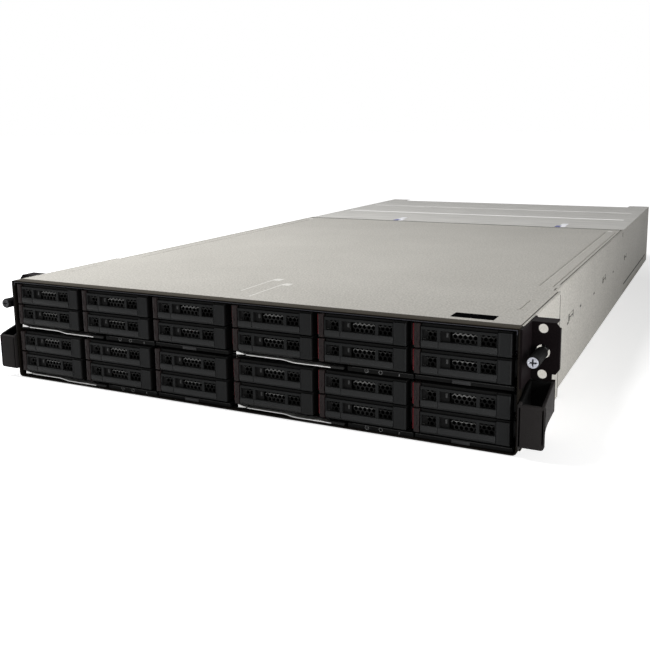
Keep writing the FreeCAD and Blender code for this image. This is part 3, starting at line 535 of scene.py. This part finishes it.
def turned(profile, centre, n=40, flutes=0, depth=0.0):
    """Turned piece along Y: each profile pair is depth and radius; flutes press cosine grooves into the
    radius where the third value of the pair, if there is one, allows them."""
    a = around(n)[None, :]
    prof = np.array([(*row, 0.0)[:3] for row in profile])
    r = prof[:, 1:2] - depth * prof[:, 2:3] * (0.5 + 0.5 * np.cos(flutes * a))
    y = prof[:, 0:1] + 0 * a
    return tube(np.stack([centre[0] + r * np.cos(a), y, centre[1] + r * np.sin(a)], -1))


def slotted_face(centre, y0, r, sink):
    """Round face whose depth is a dished cross: the nearer of the two arm distances sets how deep the slot
    is."""
    rho = np.concatenate([np.linspace(0.02, 0.9, 30), [0.94, 0.98, 1.0]])[:, None] * r
    a = around(64)[None, :]
    x, z = rho * np.cos(a), rho * np.sin(a)
    across, along = 0.42, 2.3
    arm = np.minimum(np.maximum(np.abs(x) / across, np.abs(z) / along),
                     np.maximum(np.abs(z) / across, np.abs(x) / along))
    y = y0 + sink * (1.0 - ramp(arm, 0.75, 1.3)) + 0.35 * (rho / r) ** 6 + 0 * a
    rim = np.stack([centre[0] + x[-1:], np.full_like(x[-1:], y0 + 3.0), centre[1] + z[-1:]], -1)
    return tube(np.concatenate([np.stack([centre[0] + x, y, centre[1] + z], -1), rim]))


bright = finish("bright_screw_steel", (0.33, 0.335, 0.37), (0.45, 0.455, 0.5), 0.8, (0.34, 0.46), 0.8, 0.05,
                gloss=0.3)
# A darker copy of the screw steel, painted shade for steel that lies in shade.
shaded_steel = finish("shaded_screw_steel", (0.05, 0.05, 0.053), (0.1, 0.1, 0.106), 0.8, (0.4, 0.52), 0.3, 0.05,
                gloss=0.1)
knurled = finish("knurled_black_sleeve", 0.0035, 0.008, 0.5, (0.45, 0.6), gloss=0.05)
# The left screw's face takes the shaded copy, painted shade; the right one keeps the bright steel.
for side, steel in (("left", shaded_steel), ("right", bright)):
    body = "rack_screw_" + side
    low, high = extent(body)
    centre = ((low[0] + high[0]) / 2, (low[2] + high[2]) / 2)
    f, ear = low[1], front + 29.6
    sleeve = [(f + 0.9, 3.0), (f + 0.9, 4.0), (f + 1.5, 4.3), (f + 5.0, 4.3, 1), (f + 20.0, 4.3, 1),
              (f + 22.0, 4.2), (ear - 4.4, 4.2), (ear - 3.9, 3.4), (ear + 0.4, 3.2), (ear + 1.6, 2.4)]
    thread = [(ear + 2.0 + 0.4 * i, 2.4 - 0.35 * (i % 2)) for i in range(28)] + [(high[1], 1.6)]
    clip = block((centre[0] - 1.3, ear + 0.4, low[2]), (centre[0] + 1.3, ear + 1.6, high[2]))
    shank = turned(sleeve + thread, centre, 48, 16, 0.3)
    piece(body + "_sleeve", [shank, clip], knurled, body, (body,))
    piece(body + "_face", [slotted_face(centre, f, 3.65, 1.2)], steel, body, (body,))

# Fans. Five tube-axial fans in a row behind the midplane, three large and two small: square moulded
# housings with a round duct, and rotors with seven twisted blades on a cupped hub.
dress(finish("fan_housing_plastic", (0.008, 0.008, 0.0085), (0.015, 0.015, 0.016), 0.8, (0.45, 0.6),
             gloss=0.2), "fan_frames")
rotor_plastic = finish("fan_rotor_plastic", (0.012, 0.012, 0.013), (0.02, 0.02, 0.021), 1.2, (0.35, 0.5),
                       bump=0.06)


def blade(centre, y0, y1, hub, tip, start):
    """Fan blade: a section of lens shape, carried from the hub to the tip while it twists and sweeps
    forward."""
    u = np.linspace(0, 1, 7)[:, None]
    s = around(14)[None, :]
    chord, thick = 0.5 * np.cos(s), 0.055 * np.sin(s)
    pitch = np.radians(52.0 - 22.0 * u)
    length = (y1 - y0) * 0.92 / np.cos(np.radians(38.0)) * (0.75 + 0.25 * u)
    along = length * (chord * np.cos(pitch) - thick * np.sin(pitch))
    across = length * (chord * np.sin(pitch) + thick * np.cos(pitch))
    along = np.clip(along, -(y1 - y0) / 2, (y1 - y0) / 2)
    r = hub - 1.0 + (tip - hub + 1.0) * u
    a = start + across / np.maximum(r, 12.0) + 0.25 * u * u
    return tube(np.stack([centre[0] + r * np.cos(a), (y0 + y1) / 2 + along, centre[1] + r * np.sin(a)], -1))


for i, size in enumerate((60.0, 80.0, 80.0, 80.0, 60.0), 1):
    body = "fan_rotor_%d" % i
    low, high = extent(body)
    y0, y1 = low[1], high[1]
    centre = ((low[0] + high[0]) / 2, 1.0 + size / 2)
    hub, tip = size * 0.22, size / 2 - 4.2
    cup = [(y0 + 1.2, 2.0), (y0 + 1.2, hub * 0.55), (y0, hub * 0.62), (y0, hub * 0.9), (y0 + 1.6, hub),
           (y1, hub), (y1, 2.0)]
    wings = [blade(centre, y0 + 2.0, y1 - 1.0, hub, tip, 2 * math.pi * k / 7) for k in range(7)]
    piece(body + "_wheel", [turned(cup, centre, 36)] + wings, rotor_plastic, body, (body,))

# Compute nodes. Each is a folded zinc-plated tray with a lid, its front edge painted black, that slides in
# on the bay sheets. Board, heat sinks and memory lie inside; the strip below the drives carries its controls.
node_at = {}
for n in range(1, 5):
    body = "node_%d" % n
    low, high = extent(body + "_tray")
    left, base = low[0] - 0.4, low[2]
    node_at[n] = (left, base)
    # The tray's inside round the drives is near-black over its first 70 mm as painted shade; its first 9 mm
    # is black paint, and its lowest 3.6 mm near the front is near-black too.
    dress(zinc_sheet(body + "_zinc_tray", (
        black_paint_and_shade_zone(low[0] + 0.4, high[0] - 0.4, None, cage_y, base + 0.4, high[2] - 0.4),
        black_paint_and_shade_zone(None, None, None, front + 9.0, None, None),
        ((None, None, None, front + 12.5, None, base + 3.6), 0.01, 0.45, 0.0)), 0.03), body + "_tray")
    mid, board_top = left + 110.0, base + 4.9
    parts = ((None, None, None, None, board_top, None), (0.02, 0.02, 0.022), 0.45, 0.0)
    sinks = ((mid - 49.0, mid + 49.0, front + 180.0, front + 540.0, board_top, None), 0.6, 0.35, 1.0)
    dress(finish(body + "_board_and_parts", (0.012, 0.05, 0.02), (0.02, 0.08, 0.032), 2.0, (0.32, 0.46),
                 bump=0.06, zones=(parts, sinks)), body + "_electronics")

# Release levers. Bright stamped steel straps under each node's drives, turning on a pin at the left: they
# run level, step down past the tray floor and end in a black moulded grip.


def strap(u, z, y0, y1, t):
    """Strap along X with rounded long edges: an oblong section set on the line z(u)."""
    a = around(20)
    yy = (y0 + y1) / 2 + np.sign(np.cos(a)) * ((y1 - y0) / 2 - t / 2) + np.cos(a) * t / 2
    zz = np.sin(a) * t / 2
    return tube(np.stack([u[:, None] + 0 * yy, yy + 0 * u[:, None], z[:, None] + zz], -1))


def washer(x, y, z0, z1, r0, r1, n=32):
    """Flat ring round an upright axis: a rectangular section with softened corners carried round it."""
    a = around(n)[:, None]
    c = 0.18 * (z1 - z0)
    rz = np.array([(r0, z0), (r1 - c, z0), (r1, z0 + c), (r1, z1 - c), (r1 - c, z1), (r0, z1)])
    r, z = rz.T
    return tube(np.stack([x + r * np.cos(a), y + r * np.sin(a), z + 0 * a], -1), ring=True)


def wedge(left, base):
    """Wedge beside the eye: an outline in X and Z carried along Y, drawn in at both ends by 0.08 of the way
    to its middle."""
    u, w = np.array([(5.2, 1.6), (12.4, 2.2), (12.4, 2.75), (5.2, 4.2)]).T
    loop = np.stack([left + u, 0 * u, base + w], -1)
    rows = np.array([1.4, 1.6, 4.6, 4.8])[:, None] * np.array([0.0, 1.0, 0.0]) + [0.0, front, 0.0]
    pull = np.array([0.08, 0.0, 0.0, 0.08])[:, None, None]
    return tube(loop[None] + (loop.mean(0) - loop)[None] * pull + rows[:, None])


lever_steel = finish("bright_lever_steel", (0.5, 0.5, 0.49), (0.62, 0.62, 0.61), 0.6, (0.3, 0.42), 0.8, 0.05,
                     (0.2, 1.0, 1.0), gloss=0.3)
grip_black = finish("lever_grip_plastic", 0.006, 0.012, 0.5, (0.45, 0.6), bump=0.12, gloss=0.15)
pin_u, pin_v, strap_t, joggle_u, grip_u = 7.9, 9.0, 0.9, (44.7, 56.9), 85.8
for n, (left, base) in node_at.items():
    body = "node_%d_lever" % n
    eye = washer(left + pin_u, front + pin_v, base + 1.7, base + 2.7, 1.95, 6.0)
    # The eye takes the shaded copy of the steel: painted shade in the gap between the wedge and the strap.
    piece(body + "_eye", [eye], shaded_steel, body, (body,))
    u = np.concatenate([np.linspace(13.9, 44.3, 12), np.linspace(44.7, 57.1, 15),
                        np.linspace(57.7, grip_u, 10)])
    arm = strap(left + u, base + 2.2 - 1.4 * ramp(u, *joggle_u), front + 1.0, front + pin_v, strap_t)
    piece(body + "_strap", [arm, wedge(left, base)], lever_steel, body, (body,))
    grip = [block((left + grip_u, front + 1.0, base + 0.3), (left + 96.4, front + 9.0, base + 2.45), 0.5)]
    for u in left + 87.0 + 2.2 * np.arange(4):
        grip.append(block((u, front + 0.6, base + 0.6), (u + 1.1, front + 1.6, base + 2.2), 0.3, 1))
    piece(body + "_grip", grip, grip_black, body, (body,))

# Operator panels. A gloss black moulded strip under the middle drives of each node holds the power button,
# the identify button, each in a pale printed ring, and a small lamp; the information tab is further right.


def hoop(x, z, y, r, w, n=28):
    """Thin printed ring that faces the front: a flat oblong section carried round the button."""
    a = around(n)[:, None]
    ry = np.array([(r - w / 2, 0.0), (r + w / 2, 0.0), (r + w / 2, -0.12), (r - w / 2, -0.12)])
    reach, deep = ry.T
    return tube(np.stack([x + reach * np.cos(a), y + deep + 0 * a, z + reach * np.sin(a)], -1), ring=True)


ring_print = finish("pale_printed_ring", 0.16, 0.24, 0.6, (0.45, 0.6), bump=0.04, gloss=0.15)
lamp_lens = finish("lamp_lens", 0.13, 0.22, 0.8, (0.3, 0.4), bump=0.02, gloss=0.2)
button_plastic = finish("button_plastic", 0.012, 0.022, 0.5, (0.4, 0.55), bump=0.06, gloss=0.15)
edge_grey = finish("panel_edge_plastic", 0.018, (0.031, 0.031, 0.03), 0.6, (0.4, 0.55), bump=0.05, gloss=0.2)
tab_plastic = finish("information_tab_plastic", (0.017, 0.017, 0.018), (0.027, 0.027, 0.028), 0.9,
                     (0.3, 0.42), bump=0.04, gloss=0.2)
for n, (left, base) in node_at.items():
    body, z = "node_%d" % n, base + 1.7
    rings = [hoop(left + u, z, front + 1.5, r, 0.32) for u, r in ((114.3, 1.36), (125.1, 1.26))]
    piece(body + "_panel_rings", rings, ring_print, body)
    rim = [block((left + u0, front + 1.2, base + 2.95), (left + u1, front + 1.9, base + 3.4), 0.15, 1)
           for u0, u1 in ((103.0, 149.4), (151.4, 219.8))]
    piece(body + "_panel_edge", rim, edge_grey, body)
    lens = [block((left + 138.9, front + 1.2, z - 0.5), (left + 139.5, front + 1.7, z + 0.6), 0.15),
            block((left + 138.5, front + 1.3, z - 1.1), (left + 139.9, front + 1.7, z - 0.85), 0.1, 1)]
    piece(body + "_panel_lamp", lens, lamp_lens, body)
    tab = [block((left + 177.6, front + 1.2, base + 0.5), (left + 190.6, front + 2.0, base + 2.9), 0.3),
           block((left + 178.4, front + 1.0, base + 0.7), (left + 189.8, front + 1.4, base + 1.2), 0.15)]
    piece(body + "_information_tab", tab, tab_plastic, body)
    body += "_power_button"
    low, high = extent(body)
    y = low[1]
    cap = [(y, 0.2), (y + 0.06, 0.7), (y + 0.25, 0.95), (y + 0.6, 1.03), (high[1], 1.03)]
    centre = ((low[0] + high[0]) / 2, (low[2] + high[2]) / 2)
    piece(body + "_cap", [turned(cap, centre, 24)], button_plastic, body, (body,))

# Drives. Small hot-swap disks, six to a node, each in a carrier of dark moulded plastic on steel rails:
# windows over a paler handle band, a bare label field, and a release strip with a red latch at its left
# that clicks into the cage.
face_start, face_wide, strip_wide, face_deep, label_u = 4.5, 67.6, 4.0, 11.0, 58.25
window_low, window_high = 5.7, 13.2
windows = ((5.6, 9.8, 2.4), (9.8, 16.2, 6.0), (18.6, 25.2, 2.8), (25.2, 44.4, 6.0), (46.8, 57.4, 6.0))


def drive_front(x0, y0, z0, high):
    """Moulded face: a grid across and up whose depth is the face plane, plus grooves, window pockets, a top
    edge that is stepped back, and rounded edges; a skirt carries its outline back to the rail frame."""
    a, wide, edge, r = face_start, face_wide, 0.35, 0.7
    s = lines(a, wide, 26, [a + edge, 5.6, 9.8, 16.2, 17.4, 18.6, 25.2, 44.4, 46.8, 57.4, 58.2, 59.6, 66.4,
                            wide - edge], 0.16)
    h = lines(0.0, high, 14, [edge, window_low, window_high, high - 2.1, high - 1.2, high - edge], 0.16)
    S, H = np.meshgrid(s, h)
    y = np.full_like(S, 0.8) - 0.3 * ramp(S, label_u, label_u + 0.2)
    y += 0.6 * within(S, label_u - 0.2, label_u + 0.05, 0.1)
    y += 0.16 * within(S, 59.6, 66.4, 0.12) * within(H, 1.9, 15.5, 0.12)
    for s0, s1, sink in windows:
        pocket = within(S, s0, s1, 0.1) * within(H, window_low, window_high, 0.1)
        y = y * (1 - pocket) + sink * pocket
    y += 1.7 * np.where(S < 58.3, ramp(H, high - 2.2, high - 2.0), ramp(H, high - 1.3, high - 1.1))
    away = np.clip(np.minimum(np.minimum(S - a, wide - S), np.minimum(H * 0.6, high - H)), 0.0, r)
    y += r - np.sqrt(np.maximum(r * r - (r - away) ** 2, 0.0))
    rows, cols = S.shape
    grid = np.arange(rows * cols).reshape(rows, cols)
    face = np.stack([grid[:-1, :-1], grid[:-1, 1:], grid[1:, 1:], grid[1:, :-1]], -1).reshape(-1, 4)
    rim = np.concatenate([grid[0, :-1], grid[:-1, -1], grid[-1, :0:-1], grid[:0:-1, 0]])
    P = np.stack([x0 + S, y0 + y, z0 + H], -1).reshape(-1, 3)
    skirt = P[rim].copy()
    skirt[:, 1] = y0 + face_deep
    far = rows * cols + np.arange(len(rim))
    wall = np.stack([np.roll(rim, -1), rim, far, np.roll(far, -1)], -1)
    return np.concatenate([P, skirt]), np.concatenate([face, wall])


def release_strip(x0, y0, z0, high):
    """Press strip: a grid across and up, crowned by a cosine across, with a lozenge pressed in where the two
    distances from its middle, as shares of its half sizes, add up to under 1.25; the back is flat."""
    wide = strip_wide
    S, H = np.meshgrid(np.linspace(0.0, wide, 15), np.linspace(0.0, high, 41))
    y = 0.75 - 0.35 * np.cos((S / wide - 0.5) * math.pi) * within(H, 0.0, high, 0.6)
    y += 0.5 * ramp(1.25 - np.abs(S - wide / 2) / (0.32 * wide) - np.abs(H - high / 2) / 3.4, 0.0, 0.4)
    sheet = np.stack([x0 + S, y0 + y, z0 + H], -1)
    rear = np.stack([x0 + S, np.full_like(S, y0 + face_deep), z0 + H], -1)[:, ::-1]
    return tube(np.concatenate([sheet, rear], 1))


comb_pitch, comb_web = 3.5, 0.44


def comb_places(spans):
    """Centres of the honeycomb's holes over the spans: three rows, the middle one half a pitch aside."""
    x, z = [], []
    for a, b in spans:
        for row, up in enumerate((7.45, 10.4, 13.35)):
            across = np.arange(-comb_pitch, 70.0, comb_pitch) + (0.9 if row == 1 else -0.85)
            across = across[(across > a - 0.9) & (across < b + 0.9)]
            x.append(across)
            z.append(np.full_like(across, up))
    return np.concatenate(x), np.concatenate(z)


def honeycomb(x, z, y0, y1):
    """Honeycomb web: at every centre a six-sided ring standing on its point, as wide as the web, from y0 to
    y1; neighbouring rings meet flat to flat."""
    R = comb_pitch / math.sqrt(3.0) - 0.01
    a = math.pi / 2 + np.arange(6) * math.pi / 3
    ry = np.array([(R, y0), (R - comb_web, y0), (R - comb_web, y1), (R, y1)])
    px = x[:, None, None] + ry[None, None, :, 0] * np.cos(a)[None, :, None]
    pz = z[:, None, None] + ry[None, None, :, 0] * np.sin(a)[None, :, None]
    P = np.stack([px, np.broadcast_to(ry[None, None, :, 1], px.shape), pz], -1)
    one = tube(P[0], ring=True)[1]
    quads = (one[None] + (np.arange(len(x)) * a.size * len(ry))[:, None, None]).reshape(-1, 4)
    return P.reshape(-1, 3), quads


def lit_rows(level):
    """Zones of painted highlight for the row of webs that catches the light, one for each row of drives."""
    floors = [base + d for base in (node_at[3][1], node_at[1][1]) for d in (4.6, 23.0)]
    tint = (level, level, 0.98 * level)
    return [((None, None, None, None, f + 11.0, f + (12.9 if i % 2 else 12.0)), tint, 0.4, 0.0)
            for i, f in enumerate(floors)]


# Painted shade: the drive face is near-black wherever it lies more than 1.2 mm back, in its window pockets,
# its stepped-back top edge and its skirt.
pockets = black_paint_and_shade_zone(None, None, front + 1.2, front + 20.0, None, None)
face_plastic = finish("drive_face_plastic", (0.0095, 0.010, 0.0102), (0.0155, 0.016, 0.0163), 0.5,
                      (0.5, 0.64), bump=0.14, gloss=0.1, zones=(pockets,))
handle_plastic = finish("drive_handle_plastic", (0.0165, 0.017, 0.0173), (0.0255, 0.026, 0.0264), 0.5,
                        (0.45, 0.58), bump=0.12, gloss=0.14)
strip_plastic = finish("release_strip_plastic", (0.014, 0.0105, 0.0105), (0.024, 0.0168, 0.0168), 0.5,
                       (0.45, 0.6), gloss=0.12)
# Lit and shaded copies of the web: the middle window's webs are lighter, the end windows' darker, as painted
# light and painted shade.
web_lit = finish("honeycomb_web", 0.0045, 0.009, 0.7, (0.4, 0.55), bump=0.05, zones=lit_rows(0.2), gloss=0.12)
web_dim = finish("honeycomb_web_shaded", 0.002, 0.0045, 0.7, (0.4, 0.55), bump=0.05, zones=lit_rows(0.035),
                 gloss=0.05)
pipe_lens = finish("light_pipe_lens", 0.03, 0.055, 0.8, (0.3, 0.4), bump=0.02, gloss=0.2)
latch_red = finish("red_latch_plastic", (0.17, 0.013, 0.019), (0.25, 0.02, 0.027), 0.8, (0.4, 0.55),
                   bump=0.05, gloss=0.15)
# The disk body's front end is near-black, painted shade inside the carrier.
disk_cast = finish("cast_disk_body", (0.4, 0.4, 0.41), (0.52, 0.52, 0.53), 1.2, (0.36, 0.5), 0.3, 0.08,
                   gloss=0.1, zones=(black_paint_and_shade_zone(None, None, None, front + 13.5, None, None),))
rail_steel = finish("black_rail_steel", 0.006, 0.012, 0.9, (0.45, 0.6), bump=0.06, gloss=0.15)
comb_wide, comb_ends = comb_places([(29.4, 44.4)]), comb_places([(9.8, 16.2), (46.8, 57.4)])
band = np.concatenate([[(0.9, 5.6), (0.35, 5.5)], arc(((0.08, 5.0), (0.0, 3.4), (0.25, 1.7)), 7),
                       [(0.9, 1.15), (1.6, 1.1), (1.6, 5.6)]])
for body in ["node_%d_drive_%d" % (n, k) for n in range(1, 5) for k in range(1, 7)]:
    low, high = extent(body)
    x, y, z = low[0] - 0.5, low[1], low[2]
    tall, middle, f = high[2] - z, (high[2] - z) / 2, x + 2.7
    handle = [carried(band + [y, z], f + a, f + b, 0.3) for a, b in ((5.0, 17.2), (17.6, 58.0))]
    latch = [block((x + 0.7, y + 3.3, z + 1.0), (x + 2.5, y + 10.0, z + tall - 1.0)),
             block((x + 0.9, y + 3.05, z + middle - 3.0), (x + 2.3, y + 3.6, z + middle + 3.0), 0.25)]
    pipe = [block((f + 22.7, y + 1.7, z + 9.1), (f + 23.7, y + 3.4, z + 12.0), 0.3),
            block((f + 22.5, y + 2.2, z + 8.9), (f + 23.9, y + 3.4, z + 12.2), 0.2)]
    lens = [block((f + a, y + 1.6, z + 6.1), (f + a + 0.95, y + 3.0, z + 6.7), 0.25) for a in (6.0, 7.25)]
    disk = [block((x + 2.0, y + 12.4, z + 1.2), (x + 71.6, y + 112.8, z + 16.2), 0.8),
            block((x + 8.0, y + 20.0, z + 16.0), (x + 65.6, y + 100.0, z + 16.35), 0.3)]
    rails = [block((x + a, y + 11.0, z + 2.0), (x + a + 0.8, y + 116.0, z + 15.0), 0.3) for a in (1.1, 71.7)]
    rails.append(block((x + 1.4, y + 11.1, z + 2.4), (x + 72.2, y + 12.0, z + 14.6), 0.3))
    webs = [honeycomb(f + cx, z + cz, y + 1.9, y + 5.6) for cx, cz in (comb_wide, comb_ends)]
    for part, shells, coat, sharp in (
            ("front", [drive_front(f, y, z, tall)], face_plastic, 40.0),
            ("handle", handle, handle_plastic, 40.0),
            ("release", [release_strip(f, y, z + 0.2, tall - 0.4)], strip_plastic, 50.0),
            ("honeycomb", webs[:1], web_lit, 32.0), ("honeycomb_ends", webs[1:], web_dim, 32.0),
            ("latch", latch, latch_red, 32.0), ("light_pipe", pipe, pipe_lens, 32.0),
            ("status_lens", lens, edge_grey, 32.0), ("disk", disk, disk_cast, 32.0),
            ("rails", rails, rail_steel, 32.0)):
        piece(body + "_" + part, shells, coat, body, (body,), sharp, "honeycomb" not in part)

# Rear modules. Two power supplies one above the other, a low management tray and a wide card shuttle slide
# in from the back; all are zinc-plated cases with black inlets, sockets and pulls.


def wire_guard(x, z, y, radii, w):
    """Finger guard of a fan: round wires on circles of the given radii, joined by four straight spokes."""
    a = around(40)[:, None]
    b = around(6)[None, :]
    shells = []
    for r in radii:
        reach = r + w * np.cos(b)
        ring = np.stack([x + reach * np.cos(a), y + w * np.sin(b) + 0 * a, z + reach * np.sin(a)], -1)
        shells.append(tube(ring, ring=True))
    t = np.linspace(radii[0], radii[-1], 4)[:, None]
    for turn in np.arange(4) * math.pi / 2 + math.pi / 4:
        c, s = math.cos(turn), math.sin(turn)
        across, deep = w * np.cos(b), w + w * np.sin(b) + 0 * t
        shells.append(tube(np.stack([x + t * c - across * s, y + deep, z + t * s + across * c], -1)))
    return shells


def module_case(name, zones):
    """Plain zinc-plated case of a module, with its zones of other materials."""
    return finish(name, (0.46, 0.45, 0.42), (0.57, 0.56, 0.52), 1.1, (0.42, 0.56), 0.5, 0.06, gloss=0.2,
                  zones=zones)


rear = front + 868.0
inlet_black, board_green = (0.012, 0.012, 0.013), (0.02, 0.085, 0.034)
for i in (1, 2):
    body = "power_supply_%d" % i
    low, high = extent(body)
    x0, x1, z0 = low[0], high[0], low[2]
    dress(module_case(body + "_case", (
        ((None, None, rear + 0.02, None, None, None), inlet_black, 0.5, 0.0),
        ((x0 + 4.9, x0 + 32.1, rear - 21, None, z0 + 9.9, z0 + 30.1), inlet_black, 0.45, 0.0))), body)
    guard = wire_guard(x1 - 21.0, (z0 + high[2]) / 2, rear - 1.6, (4.0, 8.0, 12.0, 15.9), 0.5)
    piece(body + "_fan_guard", guard, bright, body)
    lens = [block((x0 + a, rear - 0.3, z0 + 33.0), (x0 + a + 2.0, rear + 0.3, z0 + 35.0), 0.3)
            for a in (8.0, 13.0, 18.0)]
    piece(body + "_lamps", lens, lamp_lens, body)
low, high = extent("pcie_shuttle")
riser = ((low[0] + 2, high[0] - 2, None, front + 698.0, low[2] + 1.2, None), board_green, 0.4, 0.0)
dress(module_case("card_shuttle_zinc", (riser,)), "pcie_shuttle")
x, _, z = extent("management_module")[0]
board = ((None, None, None, rear - 3.9, z + 3.9, z + 5.7), board_green, 0.4, 0.0)
jacks = ((x + 21.9, x + 62.1, rear - 22.1, None, z + 5.5, z + 19.7), (0.02, 0.02, 0.021), 0.45, 0.0)
dress(module_case("management_zinc", (board, jacks)), "management_module")

# Room. A pale floor under a white sky; one soft lamp hangs above the front left and a weaker one stands low
# at the right.


def lamp(name, place, aim, size, power):
    """Round area lamp at a place, in metres, turned to its aim."""
    light = bpy.data.lights.new(name, "AREA")
    light.shape = "DISK"
    light.size = size
    light.energy = power
    thing = bpy.data.objects.new(name, light)
    thing.location = place
    away = np.array(place) - np.array(aim)
    tilt, heading = math.acos(away[2] / np.linalg.norm(away)), math.atan2(away[1], away[0])
    thing.rotation_euler = (tilt, 0.0, heading + math.pi / 2)
    bpy.context.scene.collection.objects.link(thing)


def seen_rays(tree, low, high):
    """Strength for light that the camera, a gloss or a glass shows: high there, low where it only lights."""
    path = shader_node(tree, "LightPath", {}).outputs
    rays = path["Is Camera Ray"]
    for kind in ("Is Glossy Ray", "Is Transmission Ray"):
        rays = shader_node(tree, "Math", {0: rays, 1: path[kind]}, operation="MAXIMUM").outputs[0]
    return shader_node(tree, "MapRange", {"To Min": low, "To Max": high, "Value": rays}).outputs["Result"]


lamp("key_lamp", (-0.5, -0.4, 1.0), (-0.48, -0.42, 0.08), 0.5, 12.6)
lamp("side_lamp", (0.7, -0.62, 0.1), (0.2, -0.15, 0.05), 0.3, 3.3)
world = bpy.data.worlds.new("white_room")
world.use_nodes = True
bpy.context.scene.world = world
plug(world.node_tree.nodes["Background"], {
    "Color": rgba(1.0), "Strength": seen_rays(world.node_tree, 0.07, 1.0)})
reach, under = 30.0, -0.0005
corners = [(-reach, -reach, under), (reach, -reach, under), (reach, reach, under), (-reach, reach, under)]
floor_mesh = bpy.data.meshes.new("floor")
floor_mesh.from_pydata(corners, [], [(0, 1, 2, 3)])
floor = bpy.data.objects.new("floor", floor_mesh)
bpy.context.scene.collection.objects.link(floor)
paper = bpy.data.materials.new("white_paper")
paper.use_nodes = True
tree = paper.node_tree
spot = shader_node(tree, "TexCoord", {}).outputs["Object"]
away = shader_node(tree, "VectorMath", {0: spot}, operation="LENGTH").outputs["Value"]
glow = shader_node(tree, "MapRange", {"From Min": 0.35, "From Max": 0.95, "To Min": 0.6, "To Max": 1.0,
                                      "Value": away}).outputs["Result"]
plug(tree.nodes["Principled BSDF"], {
    "Base Color": rgba(0.8), "Roughness": 0.9, "Specular IOR Level": 0.0,
    "Emission Color": rgba(1.0), "Emission Strength": seen_rays(tree, 0.0, glow)})
floor_mesh.materials.append(paper)

# Camera. Low and to the right of the front, close enough for the depth to taper strongly; its place, turn
# and lens were fitted with the known sizes of the enclosure.
picture, centre, focal = 650.0, (339.452, 269.503), 820.173
eye = np.array([342.074, front - 512.492, 215.097]) * 0.001
azimuth, rise, roll = 0.44938, 0.17019, -0.01036
behind = np.array([math.sin(azimuth) * math.cos(rise), -math.cos(azimuth) * math.cos(rise), math.sin(rise)])
right = np.array([math.cos(azimuth), math.sin(azimuth), 0.0])
up = np.cross(behind, right)
right, up = math.cos(roll) * right + math.sin(roll) * up, math.cos(roll) * up - math.sin(roll) * right
camera = bpy.data.cameras.new("camera")
camera.sensor_width = 36.0
camera.lens = focal / picture * camera.sensor_width
camera.shift_x = (picture / 2 - centre[0]) / picture
camera.shift_y = (centre[1] - picture / 2) / picture
camera.clip_start = 0.01
viewer = bpy.data.objects.new("camera", camera)
viewer.matrix_world = Matrix([*np.stack([right, up, behind, eye], -1).tolist(), [0.0, 0.0, 0.0, 1.0]])
bpy.context.scene.collection.objects.link(viewer)
bpy.context.scene.camera = viewer
bpy.context.scene.view_settings.view_transform = "Standard"
